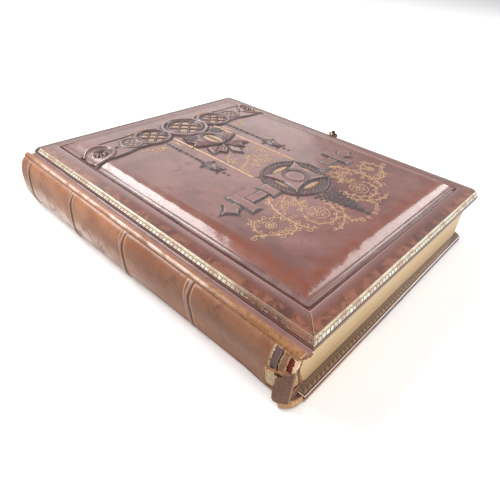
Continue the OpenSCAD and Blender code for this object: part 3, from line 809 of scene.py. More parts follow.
@dataclass
class CoverForm:
    """Forms of the front board and its raised panel, in millimetres."""

    board_w: float = 236.0
    board_h: float = 300.0
    front_z: float = 41.8
    corner_r: float = 8.0
    bevel_w: float = 3.2
    edge_h: float = 3.6
    bevel_top: float = 6.6
    rise: float = 1.5
    crest_in: float = 11.0
    frame_w: float = 15.8
    panel_in: float = 17.4
    seat_h: float = 6.0
    foot_h: float = 1.7
    step_w: float = 1.6
    bullnose_w: float = 13.5
    bullnose_h: float = 5.3
    shoulder: float = math.radians(43)
    crown: float = 1.9
    grooves: tuple[tuple[float, float, float], ...] = ((0.22, 1.15, 0.22), (0.3, 2.35, 0.26))

    @property
    def half_w(self) -> float:
        """Half the panel's width."""
        return self.board_w / 2 - self.panel_in

    @property
    def half_l(self) -> float:
        """Half the panel's length."""
        return self.board_h / 2 - self.panel_in

    def panel_in_from_edge(self, x: Array, y: Array) -> Array:
        """Distance from the panel's edge, its mitres a little rounded."""
        dx, dy = self.half_w - np.abs(x), self.half_l - np.abs(y)
        soft = 0.25 + 0.03 * np.minimum(dx, dy)
        gap = np.clip(0.5 + 0.5 * (dy - dx) / soft, 0, 1)
        return dy + (dx - dy) * gap - soft * gap * (1 - gap)

    def warmth(self, x: Array, y: Array) -> Array:
        """Warm tint that the panel's rim shows, stronger towards the tail."""
        inward = self.panel_in_from_edge(x, y)
        return (0.9 - 0.45 * ease(-60, 60, y)) * ease(26, 6, inward) * ease(0, 4, inward)

    def panel_z(self, x: Array, y: Array) -> Array:
        """Height of the bare panel over the table."""
        inward = self.panel_in_from_edge(x, y)
        foot = self.front_z + self.seat_h + self.foot_h
        turn = np.clip((inward - self.step_w) / self.bullnose_w, 0, 1)
        slope = np.arcsin((1 - turn) * math.sin(self.shoulder))
        arc = self.bullnose_w / math.sin(self.shoulder) * (np.cos(slope) - math.cos(self.shoulder))
        full = self.bullnose_h * np.sqrt(np.clip(1 - (1 - turn) ** 2.1, 0, 1))
        round_edge = 0.85 * arc + 0.15 * full
        u = np.clip(np.abs(x) / (self.half_w - self.step_w - self.bullnose_w), 0, 1)
        v = np.clip(np.abs(y) / (self.half_l - self.step_w - self.bullnose_w), 0, 1)
        crown = self.crown * (1 - u**2) * (1 - v**2) ** 0.8
        step = 0.15 * ease(0, self.step_w, inward)
        groove = sum(deep * bell(inward, at, half) for deep, at, half in self.grooves)
        dents = 0.1 * Wave(11, 60, 6).field(x, y) * ease(10, 26, inward)
        dents += 0.05 * Wave(12, 16, 8).field(x, y) * ease(2, 6, inward) * ease(22, 14, inward)
        return foot + step + round_edge + crown - groove + dents


def packed_line(half: float, coarse: float, fine: float, border: float) -> Array:
    """Places across a sheet, close together at its borders and wider apart in its middle."""
    edge = np.arange(0, border, fine)
    middle = np.linspace(border, 2 * half - border, max(int((2 * half - 2 * border) / coarse), 2))
    return np.concatenate([edge, middle, 2 * half - edge[::-1]]) - half


@dataclass
class RaisedPanel:
    """Padded panel of the front cover."""

    form: CoverForm
    fine: float = 0.42
    coarse: float = 1.25

    def build(self, leather: Material) -> Piece:
        """Make the bullnosed panel from a grid whose lines crowd towards its edges.

        Args:
            leather: Material of the panel.

        Returns:
            The panel, standing for its solid.
        """
        form = self.form
        xs = packed_line(form.half_w, self.coarse, self.fine, form.step_w + form.bullnose_w + 1)
        ys = packed_line(form.half_l, self.coarse, self.fine, form.step_w + form.bullnose_w + 1)
        panel = grid("front_panel_leather", len(xs) - 1, len(ys) - 1, 1, 1)

        def lay(x: Array, y: Array) -> Array:
            """Spread the even grid over the panel."""
            across = np.interp(x, np.linspace(-0.5, 0.5, len(xs)), xs)
            along = np.interp(y, np.linspace(-0.5, 0.5, len(ys)), ys)
            return np.stack([across, along, form.panel_z(across, along)], 1)

        shaped(panel, lay)
        self.close(panel)
        places = points_of(panel)
        inward = form.panel_in_from_edge(places[:, 0], places[:, 1])
        mark(panel, "rim", form.warmth(places[:, 0], places[:, 1]))
        line = bell(inward, 1.15, 0.22) + bell(inward, 2.35, 0.24)
        mark(panel, "ink", np.clip(line * 0.8, 0, 1) * (inward > 0.05))
        # Lighter strips along the panel's edge.
        mark(panel, "rub", 0.2 * ease(3.6, 2.6, inward))
        dress(panel, leather)
        smooth(panel, 50)
        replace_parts(panel, "front_panel")
        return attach(panel, "front_cover")

    def close(self, panel: Piece) -> None:
        """Turn the border down to the seat and close the underside."""
        activate(panel)
        bpy.ops.object.mode_set(mode="EDIT")
        bpy.ops.mesh.select_all(action="SELECT")
        bpy.ops.mesh.region_to_loop()
        drop_by = self.form.foot_h * 0.98 * MM
        bpy.ops.mesh.extrude_region_move(TRANSFORM_OT_translate={"value": (0, 0, -drop_by)})
        bpy.ops.mesh.edge_face_add()
        bpy.ops.object.mode_set(mode="OBJECT")


@dataclass
class ReliefPatch:
    """One pressed ornament, as a close mesh that rises out of the panel."""

    name: str
    form: CoverForm
    low: tuple[float, float]
    high: tuple[float, float]
    draw: Callable[[Relief], None]
    pitch: float = 0.42

    def build(self, leather: Material) -> Piece:
        """Make the ornament from a fine grid laid on the panel.

        Args:
            leather: Material that reads the stain and the gold.

        Returns:
            The ornament, riding on the front cover.
        """
        (x0, y0), (x1, y1) = self.low, self.high
        columns, rows = int((x1 - x0) / self.pitch), int((y1 - y0) / self.pitch)
        patch = grid(self.name, columns, rows, x1 - x0, y1 - y0)
        flat = points_of(patch)
        x, y = flat[:, 0] + (x0 + x1) / 2, flat[:, 1] + (y0 + y1) / 2
        relief = Relief(x, y)
        self.draw(relief)
        inward = self.form.panel_in_from_edge(x, y)
        put_points(patch, np.stack([x, y, self.form.panel_z(x, y) + relief.proud()], 1))
        mark(patch, "ink", relief.ink)
        mark(patch, "gilt", relief.gilt)
        # Worn arrises and the ornament's painted highlights (glints).
        mark(patch, "rub", 0.6 * relief.worn)
        mark(patch, "rim", self.form.warmth(x, y))
        drop(patch, (relief.reach > Relief.MOAT + 0.75) | (inward < 0.3))
        dress(patch, leather)
        smooth(patch, 60)
        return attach(patch, "front_cover")


@dataclass
class Ornament:
    """Places of the ornament on the panel, right half, in millimetres from its middle."""

    strap_y: float = 90.5
    ring_x: float = 36.8
    small_x: float = 58.8
    eye_x: float = 90.5
    star_y: float = -43.0

    def strapwork(self, relief: Relief) -> None:
        """Chain of rings across the head, ending in eyes that turn over the edge."""
        plan, y = relief.plan, self.strap_y
        far = [(46, 14.8), (60, 13.4), (72, 13.9), (84, 13.2), (101, 11.4)]
        near = [(46, -14.0), (60, -12.6), (72, -15.0), (84, -15.8), (101, -12.6)]
        relief.press(plan.outline([(p, y + q) for p, q in near + far[::-1]]), 0.55, 1.2, stain=Stain.NONE)
        for edge in (far, near):
            relief.press(plan.line([(p, y + q) for p, q in edge], 1.4), 0.85, 0.6, stain=Stain.WHOLE)
        for side in (1, -1):
            knot = [(23, y + side * 12.5), (27.5, y + side * 15.4), (33, y + side * 17.0)]
            relief.press(plan.line(knot, 1.0), 0.7, 0.5, stain=Stain.WHOLE)
        relief.press(plan.ring(self.eye_x, y, 14.3, 10.3), 1.35, 1.5, 0.4, 0.1)
        crescent = np.maximum(plan.disc(self.eye_x, y, 10.0), -plan.disc(self.eye_x + 4.2, y - 1, 8.8))
        relief.sink(crescent, 0.25, 0.6, 0.7)
        # Painted highlights round the lower arc of the eye's ring and at two spots on its upper side.
        lower = np.radians(np.arange(-112, -30, 8))
        for angles, radius, strength in ((lower, 1.5, 1.5), ((0.6, 0.75), 1.0, 1.8)):
            highlight_spots = [(self.eye_x + 12.3 * math.cos(a), y + 12.3 * math.sin(a)) for a in angles]
            relief.glint(highlight_spots, radius, strength)
        relief.press(plan.ring(self.small_x, y, 10.8, 7.6), 0.95, 0.9, 0.45, 0.35)
        relief.press(plan.ring(self.ring_x, y, 17.4, 13.4), 1.05, 0.9, 0.45, 0.35)
        relief.sink(plan.ring(self.ring_x, y, 15.7, 15.1), 0.2, 0.3, 1)
        relief.press(plan.ring(0, y, 22.8, 18.4), 1.25, 1.2, 0.35, 0.12)
        relief.press(plan.ring(0, y, 17.6, 15.2), 0.9, 0.8, 0.4, 0.55)
        for cx, reach, bar in ((0, 14.8, 1.6), (self.ring_x, 12.7, 1.5), (self.small_x, 7.0, 1.0)):
            self.lattice(relief, cx, y, reach, bar)
        self.berries(relief, self.eye_x - 1.5, y - 1, 4.6, 1.75, 9)
        self.berries(relief, 73.2, y - 0.6, 1.1, 0.7, 3)

    def lattice(self, relief: Relief, cx: float, cy: float, reach: float, bar: float) -> None:
        """Crossing bars with gold between them, inside a ring."""
        plan = relief.plan
        inside = plan.disc(cx, cy, reach)
        relief.press(inside, 0.12, 0.5, 0.9, 0.2)
        a, step = math.sqrt(0.5), reach * 0.56
        for i in (-1, 0, 1):
            for j in (-1, 0, 1):
                if abs(i) + abs(j) == 2:
                    continue
                px, py = (i - j) * a * step, (i + j) * a * step
                cell = plan.box(cx + px, cy + py, reach * 0.19, reach * 0.19, 45)
                relief.gild(np.maximum(cell, inside), 0.1)
                for u, v in ((1, 0), (0, 1)):
                    r = reach * 0.15
                    vein = [(cx + px - u * r, cy + py - v * r), (cx + px + u * r, cy + py + v * r)]
                    relief.sink(plan.line(vein, 0.5), 0.15, 0.25, 0.55)
        for i in (-1, 1):
            tip = plan.oval(cx, cy + i * reach * 0.8, reach * 0.2, reach * 0.12)
            relief.gild(tip, 0.1)
        for turn in (45, -45):
            for side in (-1, 1):
                t = math.radians(turn)
                ox, oy = -math.sin(t) * side * reach * 0.29, math.cos(t) * side * reach * 0.29
                strip = plan.box(cx + ox, cy + oy, reach, bar / 2, turn)
                relief.press(np.maximum(strip, inside), 0.75, 0.5, 0.1, 0.5)

    def berries(
        self, relief: Relief, cx: float, cy: float, away: float, radius: float, count: int = 6
    ) -> None:
        """Long berries round one berry, like the petals of a daisy."""
        plan = relief.plan
        relief.sink(plan.disc(cx, cy, away + radius * 0.9), 0.5, 0.8, 1.0)
        for i in range(count):
            a = 2 * math.pi * (i + 0.5) / count
            near, far = away * 0.45, away * 1.1
            petal = [(cx + r * math.cos(a), cy + r * math.sin(a)) for r in (near, far)]
            relief.press(plan.line(petal, radius * 0.95), 1.7, radius * 0.45, 0.05)
            # Painted highlights on the petals that face down and sideways.
            if math.sin(a) < 0.5:
                middle = ((petal[0][0] + petal[1][0]) / 2, (petal[0][1] + petal[1][1]) / 2)
                relief.glint([middle, petal[1]], radius * 0.45, 2.6)
        relief.press(plan.disc(cx, cy, radius * 0.5), 1.7, radius * 0.5, 0.05)

    def palmette(self, relief: Relief) -> None:
        """Pointed leaves round a gilt almond, under the middle medallion."""
        plan = relief.plan
        under_ring = -plan.disc(0, self.strap_y, 24.0)
        root = (0.0, 38.0)
        leaves = (
            ((0, 36), (12.5, 41), (26.5, 48.5), (20.5, 53), (24, 60.5), (9, 67), (0, 66)),
            (
                (0, 38), (6, 36), (17.5, 40.5), (20.2, 34), (21.5, 26.2), (13.4, 27.6), (10.8, 21.5),
                (4, 27), (0, 36),
            ),
            ((0, 34), (3, 28), (5.6, 21.0), (3.0, 18.6), (0, 12.0)),
        )
        for i, leaf in enumerate(leaves):
            shape = plan.outline([(-1.0, leaf[0][1]), *leaf, (-1.0, leaf[-1][1])])
            relief.press(np.maximum(shape, under_ring), 1.2 - 0.1 * i, 1.3, 0.9, 0.1)
        veins = (
            (24, 49), (22, 51.5), (21.5, 58.5), (18, 51.5), (15.5, 44), (19.5, 46.5), (17.4, 31),
            (19.2, 28.4), (14, 30), (16.5, 34.5), (10.2, 25), (12.5, 27.5), (8, 26), (3.5, 21),
            (1.6, 17),
        )
        for x, y in veins:
            start = (root[0] + (x - root[0]) * 0.22, root[1] + (y - root[1]) * 0.22)
            relief.sink(plan.line([start, (x, y)], 0.7), 0.35, 0.3, 0.65)
        # Painted shadow: dark lines sunk along the hollow ends of the two upper leaves.
        end_shadows = ([(26.5, 48.5), (20.5, 46.4), (15.5, 42.6)], [(21.5, 26.2), (15.8, 29.6), (13.4, 27.6)])
        for tip in end_shadows:
            relief.sink(plan.line(tip, 1.1), 0.45, 0.5, 1.0)
        relief.press(plan.disc(15.6, 63.8, 6.6), 1.35, 1.1, stain=Stain.WHOLE)
        count = 8
        for i in range(count):
            a = 2 * math.pi * i / count
            bead = plan.disc(15.6 + 3.9 * math.cos(a), 63.8 + 3.9 * math.sin(a), 1.0)
            relief.press(bead, 1.7, 0.9, 0.2, 0.5)
        relief.press(plan.oval(0, 51, 9.2, 13.8), 1.45, 1.0, 0.4, 0.7)
        relief.sink(plan.oval(0, 51, 7.2, 11.8), 0.7, 0.7, 1.0)
        relief.gild(plan.oval(0, 51, 6.2, 10.6), 0.1)
        for i in range(5):
            relief.press(plan.disc(0, 43.5 + 3.6 * i, 1.4 - 0.14 * abs(i - 2)), 1.35, 1.0, 0.15)

    def tassel(self, relief: Relief) -> None:
        """Tassel on a knotted cord under a large ring."""
        plan, x = relief.plan, self.ring_x
        relief.press(plan.line([(x, 72), (x, 27)], 0.9), 0.5, 0.45, stain=Stain.WHOLE)
        knots = ((67, 1.3), (61.5, 1.0), (57, 1.2), (52, 1.6), (44.5, 1.3), (37, 1.0), (31, 1.3))
        for y, radius in knots:
            relief.press(plan.oval(x, y, radius, radius * 1.3), 0.7, 0.9, stain=Stain.WHOLE)
        half = [(1.0, 28), (2.2, 22), (4.2, 16), (4.6, 10), (3.4, 5.4), (1.8, 2.0)]
        body = [(x - out, y) for out, y in half] + [(x, 3.4)] + [(x + out, y) for out, y in half[::-1]]
        relief.press(plan.outline(body), 1.05, 1.5, 0.6, 0.75)
        for side in (-1, 1):
            relief.press(plan.ring(x + side * 6.6, 17.6, 1.4, 0.6), 0.6, 0.4, 0.1, 0.75)
            knot = plan.line([(x + side * 5.4, 16.6), (x + side * 2.8, 21)], 0.7)
            relief.press(knot, 0.6, 0.4, stain=Stain.WHOLE)
            relief.press(plan.disc(x + side * 4.6, 2.4, 0.9), 0.7, 0.7, 0.2, 0.7)
            foot = plan.line([(x + side * 2.2, 3), (x + side * 4.2, 3.4)], 0.7)
            relief.press(foot, 0.5, 0.35, stain=Stain.WHOLE)
            fold = plan.line([(x + side * 1.2, 24), (x + side * 2.9, 15), (x + side * 2.5, 6.5)], 0.7)
            relief.sink(fold, 0.4, 0.4, 1)
        relief.press(plan.oval(x, 10.5, 1.6, 3.2), 1.5, 1.3, 0.2, 0.4)
        relief.press(plan.oval(x, 19.5, 1.1, 2.2), 1.4, 1.0, 0.2, 0.5)
        # Painted highlights on the tassel's body.
        relief.glint([(x, 19.9), (x - 0.4, 11.8), (x + 0.6, 8.6), (x - 1.8, 14.6)], 0.7, 2.0)
        relief.press(plan.oval(x, -1.2, 0.8, 1.5), 0.7, 0.7, 0.2, 0.8)
        relief.press(plan.disc(x, -6.2, 0.9), 0.6, 0.7, 0.2, 0.5)

    def medallion(self, relief: Relief) -> None:
        """Stippled ring, four-pointed star with hollow sides and oval boss, with cross arms."""
        plan, y = relief.plan, self.star_y
        relief.press(plan.disc(0, y, 27.0), 0.35, 0.9, stain=Stain.WHOLE)
        relief.press(plan.ring(0, y, 27.4, 25.2), 0.95, 0.8, 0.25, 0.75)
        relief.press(plan.ring(0, y, 20.9, 19.3), 0.7, 0.5, 0.1, 0.85)
        dots = []
        count = 40
        for i in range(count):
            a = 2 * math.pi * (i + 0.5) / count
            for away, turn in ((22.1, 0), (24.0, math.pi / count)):
                dots.append((away * math.cos(a + turn), y + away * math.sin(a + turn)))
                relief.press(plan.disc(*dots[-1], 1.1), 0.75, 0.9, 0.05, 0.15)
        # Painted highlights on every stipple dot.
        relief.glint(dots, 0.6, 1.2)
        tip = 23.8
        corners = [(a * tip, y + b * tip * 0.9) for a, b in ((1, 1), (-1, 1), (-1, -1), (1, -1))]
        for spot in ((0, y + 15.8, 8.6, 2.1), (0, y - 15.8, 8.6, 2.1), (16.2, y, 2.0, 7.6)):
            relief.gild(plan.oval(*spot), 0.15)
        self.arm(relief)
        star = plan.outline(hollow(corners, 0.2, 12))
        relief.press(star, 1.45, 1.4, 0.9)
        relief.press(plan.oval(0, y, 10.2, 11.0), 1.15, 0.9, 0.4, 0.45)
        relief.sink(plan.oval(0, y, 9.1, 9.9), 0.55, 0.6, 1)
        relief.press(plan.oval(0, y, 8.6, 9.4), 1.3, 2.4, 0.3)

    def arm(self, relief: Relief) -> None:
        """One arm of the cross: block, bar, cross bar and a pointed foot with hollow sides."""
        plan, y = relief.plan, self.star_y
        foot = [(82.2, y + 0.4), (70.6, y + 9.9), (58.8, y + 3.6), (58.8, y - 3.0), (71.2, y - 8.7)]
        relief.press(plan.outline(hollow(foot, 0.1, 8)), 0.85, 1.6, 1.45)
        # Painted highlights at the foot's corners.
        relief.glint([(78.6, y + 0.3), (70.6, y - 6.6), (62.5, y - 2.0)])
        blocks = ((47, 12, 5.0, 0.7), (31, 5.4, 9.0, 0.8), (58.0, 5.0, 13.7, 0.95))
        for cx, half_x, half_y, top in blocks:
            relief.press(plan.box(cx, y, half_x, half_y), top, 1.6, 1.45)
            inner_x, inner_y = half_x - 1.5, half_y - 1.5
            # Painted highlights at three corners of each tall block.
            if half_y > half_x:
                highlight_spots = ((1, 1), (1, -1), (-1, -1))
                relief.glint([(cx + a * inner_x, y + b * inner_y) for a, b in highlight_spots])

    def drop(self, relief: Relief) -> None:
        """Leafy drop under the medallion."""
        plan, y = relief.plan, self.star_y - 28
        relief.press(plan.line([(0, y), (0, y - 35)], 1.0), 0.55, 0.5, 0.2, 0.6)
        for i in range(8):
            down, out = y - 2.0 - 4.2 * i, 12.8 - 1.45 * i
            twig = [(0, down - 2.2), (out * 0.5, down - 1.6), (out, down + 1.2)]
            relief.press(plan.line(twig, 0.75), 0.5, 0.4, 0.15, 0.65)
            for share in (0.3, 0.62, 0.95):
                bud_y = down - 1.6 + 2.2 * share
                relief.press(plan.oval(out * share, bud_y + 0.7, 1.15, 0.8), 0.6, 0.7, stain=Stain.WHOLE)
        relief.press(plan.oval(0, y - 37, 1.2, 2.4), 0.7, 1.0, stain=Stain.WHOLE)

    def patches(self, form: CoverForm) -> list[ReliefPatch]:
        """Every pressed ornament, each with its own close mesh."""
        x = self.ring_x
        return [
            ReliefPatch("relief_strapwork", form, (-100.3, 66), (100.3, 115), self.strapwork, 0.45),
            ReliefPatch("relief_palmette", form, (-29, 8), (29, 74), self.palmette, 0.38),
            ReliefPatch("relief_tassel_left", form, (-x - 12, -8), (-x + 12, 74), self.tassel, 0.38),
            ReliefPatch("relief_tassel_right", form, (x - 12, -8), (x + 12, 74), self.tassel, 0.38),
            ReliefPatch("relief_medallion", form, (-87, -73), (87, -13), self.medallion, 0.42),
            ReliefPatch("relief_leafy_drop", form, (-16, -114), (16, -68), self.drop, 0.38),
        ]


# Strokes of the right half in the order in which they are drawn, each with the values that the
# method of its name takes: large scrolls beside the leafy drop first, then the scrolls about the
# straps and between the tassels.
SCROLLS = (
    ("rosette", 26, -84.5, 5.6, 8),
    ("volute", (26, -84.5), 8.6, 6.4, 80, -1.25, 1.1),
    ("stem", [
        (36, -78), (39, -84), (38, -92), (32, -96.5), (25, -97.5), (17, -93), (12.5, -85),
        (13, -79),
    ], 4.0, 2.6, 1.1, 2),
    ("stem", [
        (38, -104), (31, -105), (24, -103.5), (15, -98), (8.6, -90), (9, -81), (12, -77),
    ], 3.9, 3.0, 1.1, 3),
    ("stem", [
        (40, -48), (44, -56), (47.5, -64), (49, -74), (49, -84), (46.5, -92), (41.5, -96.5),
    ], 3.3, 3.4, 1.2, 4),
    ("stem", [
        (49, -76), (55, -69), (62, -65.5), (70, -64.5), (75, -71), (72.5, -79), (64, -83),
        (57, -81),
    ], 4.0, 2.9, 1.1, 5),
    ("volute", (63.8, -72.5), 5.0, 1.2, 60, 2.1, 1.1),
    ("rosette", 63.8, -72.5, 3.2, 6),
    ("stem", [(71, -81), (62, -86.5), (55, -87), (50, -82)], 3.0, 3.2, 1.0, 6),
    ("stem", [(73, -79), (77, -77), (81, -73.5)], 3.9, 2.2, 1.0, 7),
    ("volute", (82.2, -75.4), 2.3, 0.8, 70, -1.3, 1.1),
    ("stem", [(25, -54), (31, -57.5), (37, -60.5), (42, -65)], 3.1, 3.2, 1.1, 8),
    ("volute", (40.8, -66.4), 3.0, 0.9, 70, -1.5, 1.1),
    ("rosette", 33, -64, 4.4, 7),
    ("stem", [(27, -58), (26.5, -65), (30, -72), (35, -77)], 3.3, 3.0, 1.1, 9),
    ("stem", [(20, -69), (25, -69.5), (28.5, -73)], 3.1, 2.8, 1.0, 10),
    ("volute", (43.5, -76.8), 2.2, 0.7, 200, 1.4, 1.0),
    ("stem", [(47.5, -56), (41, -51), (38, -48)], 2.8, 2.6, 1.0, 11),
    ("volute", (72.3, -62.5), 2.0, 0.7, 250, 1.4, 1.1),
    ("leaf", 69.5, -61.5, 80, 3.4, 30),
    ("stem", [(16, -99), (16.5, -104), (14, -109)], 3.1, 2.6, 1.0, 12),
    ("volute", (10.3, -110.3), 2.5, 0.8, 20, 1.6, 1.1),
    ("volute", (4.2, -112), 2.0, 0.7, 160, -1.5, 1.0),
    ("stem", [(41, 70.5), (46, 67.5), (52, 67.5), (57, 70.5), (62, 72)], 4.2, 2.6, 1.0, 21),
    ("volute", (50.5, 63.5), 3.0, 0.8, 250, 1.8, 1.0),
    ("volute", (43.4, 63.5), 2.2, 0.8, 50, -1.5, 1.0),
    ("leaf", 47, 61.5, -30, 4.0, 120),
    ("leaf", 45.4, 66.8, -140, 3.6, 100),
    ("stem", [(30, 70), (29, 63), (31, 57)], 3.3, 2.2, 1.0, 23),
    ("stem", [(24, 107.5), (30, 110.5), (38, 111.5), (46, 109.5), (52, 106.5)], 3.3, 2.4, 1.0, 24),
    ("stem", [(6, 14), (10, 18), (15, 17), (19, 13), (20, 7), (16, 3.5)], 3.3, 2.5, 1.0, 25),
    ("volute", (14.6, 9.3), 3.2, 0.9, 270, 1.6, 1.1),
    ("stem", [(0.6, 11), (4, 4), (10, -1), (17, -3), (21.5, -8), (20, -13)], 3.3, 2.6, 1.0, 26),
    ("volute", (9.2, -7.6), 2.8, 0.9, 60, 1.5, 1.1),
    ("stem", [(1, 2), (3, -6), (8, -12.5)], 3.3, 2.6, 1.0, 27),
)


@dataclass
class Gilding:
    """Gilt scrollwork and cords stamped into the panel, right half, copied to the left."""

    form: CoverForm
    width: float = 0.23
    rise: float = 0.7

    def __post_init__(self) -> None:
        """Start without strokes."""
        self.strokes: list[Array] = []

    @staticmethod
    def curve(points: Points, steps: int = 7) -> Array:
        """Smooth line through the points."""
        p = np.array([points[0], *points, points[-1]], float)
        line = []
        for i in range(1, len(p) - 2):
            t = np.linspace(0, 1, steps, endpoint=False)[:, None]
            a, b, c, d = p[i - 1], p[i], p[i + 1], p[i + 2]
            square, cube = 2 * a - 5 * b + 4 * c - d, 3 * b - a - 3 * c + d
            line.append(0.5 * (2 * b + (c - a) * t + square * t**2 + cube * t**3))
        return np.vstack([*line, p[-1:]])

    def stroke(self, line: Array, thick: float = 1.0, start: float = 0.55, end: float = 0.3) -> None:
        """Keep one stroke, thinner at its ends.

        Args:
            line: Places along the stroke.
            thick: Width as a share of the usual width.
            start, end: Share of that width at the two ends.
        """
        share = np.linspace(0, 1, len(line))
        swell = ease(-0.1, 0.35, share) * (1 - start) + start
        fade = ease(1.1, 0.5, share) * (1 - end) + end
        self.strokes.append(np.column_stack([line, thick * np.minimum(swell, fade)]))

    def volute(
        self,
        centre: tuple[float, float],
        outer: float,
        inner: float,
        start: float,
        turns: float,
        thick: float = 1.0,
    ) -> None:
        """Spiral stroke inwards.

        Args:
            centre: Middle of the spiral.
            outer, inner: Radius at the start and at the end.
            start: Angle of the start, in degrees.
            turns: Number of turns, positive to the left.
            thick: Width as a share of the usual width.
        """
        count = max(int(abs(turns) * 18), 6)
        angle = np.radians(start) + np.linspace(0, 2 * math.pi * turns, count)
        radius = np.linspace(outer, inner, count)
        line = np.column_stack([centre[0] + radius * np.cos(angle), centre[1] + radius * np.sin(angle)])
        self.stroke(line, thick, 0.8, 0.9)

    def leaf(self, x: float, y: float, angle: float, length: float, bend: float = 50) -> None:
        """Comma-shaped leaf that leaves the stem at an angle and curls."""
        count = 6 + int(abs(bend) / 30)
        turn = np.radians(angle + bend * np.linspace(0, 1, count) ** 1.2)
        steps = np.column_stack([np.cos(turn), np.sin(turn)]) * length / count
        self.stroke(np.vstack([[x, y], np.array([x, y]) + np.cumsum(steps, 0)]), 1.1, 1.0, 0.5)

    def stem(
        self, points: Points, pitch: float = 2.6, length: float = 3.0, thick: float = 1.0, seed: int = 1
    ) -> None:
        """Smooth stem with small leaves on both sides.

        Args:
            points: Places that the stem passes.
            pitch: Distance between leaves; 0 for a bare stem.
            length: Length of a leaf.
            thick: Width of the stem as a share of the usual width.
            seed: Seed of the small differences between leaves.
        """
        line = self.curve(points)
        self.stroke(line, thick, 0.6, 0.6)
        if pitch <= 0:
            return
        ahead = np.gradient(line, axis=0)
        across = np.column_stack([-ahead[:, 1], ahead[:, 0]]) / np.hypot(*ahead.T)[:, None]
        bow = np.sin(np.linspace(0, math.pi, len(line)))[:, None]
        self.stroke(line + 0.85 * across * bow, 0.7, 0.5, 0.5)
        draw = np.random.default_rng(seed)
        run = np.concatenate([[0], np.cumsum(np.hypot(*np.diff(line, axis=0).T))])
        for i, at in enumerate(np.arange(pitch, run[-1] - 0.5, pitch)):
            x, y = np.interp(at, run, line[:, 0]), np.interp(at, run, line[:, 1])
            ahead = np.interp(at + 0.5, run, line[:, 0]) - x, np.interp(at + 0.5, run, line[:, 1]) - y
            heading = math.degrees(math.atan2(ahead[1], ahead[0]))
            side = 1 if i % 2 else -1
            size = length * draw.uniform(0.7, 1.15)
            self.leaf(x, y, heading + side * draw.uniform(5, 25), 2.7 * size, side * draw.uniform(270, 380))
            if draw.uniform() < 0.3:
                self.leaf(x, y, heading - side * draw.uniform(15, 35), size, -side * draw.uniform(60, 120))

    def rosette(self, x: float, y: float, radius: float, petals: int) -> None:
        """Ring of short petals round a bud."""
        self.volute((x, y), radius * 0.32, radius * 0.2, 0, 1.3, 1.1)
        for i in range(petals):
            a = 360 * i / petals
            out = math.radians(a)
            near, far = radius * 0.4, radius * 0.7
            self.leaf(x + near * math.cos(out), y + near * math.sin(out), a, radius * 0.62, 60)
            out += math.pi / petals
            self.leaf(x + far * math.cos(out), y + far * math.sin(out), a + 40, radius * 0.4, -80)

    def cords(self) -> None:
        """Two gilt cords, each of short slanting strokes with beads between them."""
        x, top, foot, pitch = 24.7, 76, -20, 1.8
        for i in range(54):
            y = top - pitch * i
            self.stroke(np.array([[x - 0.5, y - 0.6], [x, y], [x + 0.5, y + 0.6]]), 1.6, 1.0, 1.0)
        self.stroke(self.curve([(x, top), (x, foot)], 60), 3.1, 1.0, 1.0)
        self.volute((x, foot - 0.6), 0.9, 0.3, 90, 1.5, 1.4)

    def build(self, gold: Material) -> Piece:
        """Lay every stroke on the panel.

        Args:
            gold: Worn gilding.

        Returns:
            The gilding, riding on the front cover.
        """
        draw = {"stem": self.stem, "volute": self.volute, "rosette": self.rosette, "leaf": self.leaf}
        for kind, *values in SCROLLS:
            draw[kind](*values)
        self.cords()
        data = bpy.data.curves.new("gilt_scrolls", "CURVE")
        data.dimensions, data.bevel_depth, data.bevel_resolution = "3D", self.width * MM, 1
        data.use_fill_caps = True
        for stroke in self.strokes:
            for side in (-1, 1):
                spline = data.splines.new("POLY")
                spline.points.add(len(stroke) - 1)
                x, y, zero = side * stroke[:, 0], stroke[:, 1], 0 * stroke[:, 0]
                places = np.column_stack([x, y, zero, zero + 1 / MM])
                spline.points.foreach_set("co", (places * MM).ravel())
                spline.points.foreach_set("radius", stroke[:, 2])
        made = bpy.data.objects.new("gilt_scrolls", data)
        bpy.context.scene.collection.objects.link(made)
        activate(made)
        bpy.ops.object.convert(target="MESH")
        gilding = named("gilt_scrolls")
        places = points_of(gilding)
        over = self.form.panel_z(places[:, 0], places[:, 1])
        put_points(gilding, np.column_stack([places[:, :2], over + 0.02 + self.rise * places[:, 2]]))
        dress(gilding, gold)
        smooth(gilding, 60)
        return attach(gilding, "front_cover")


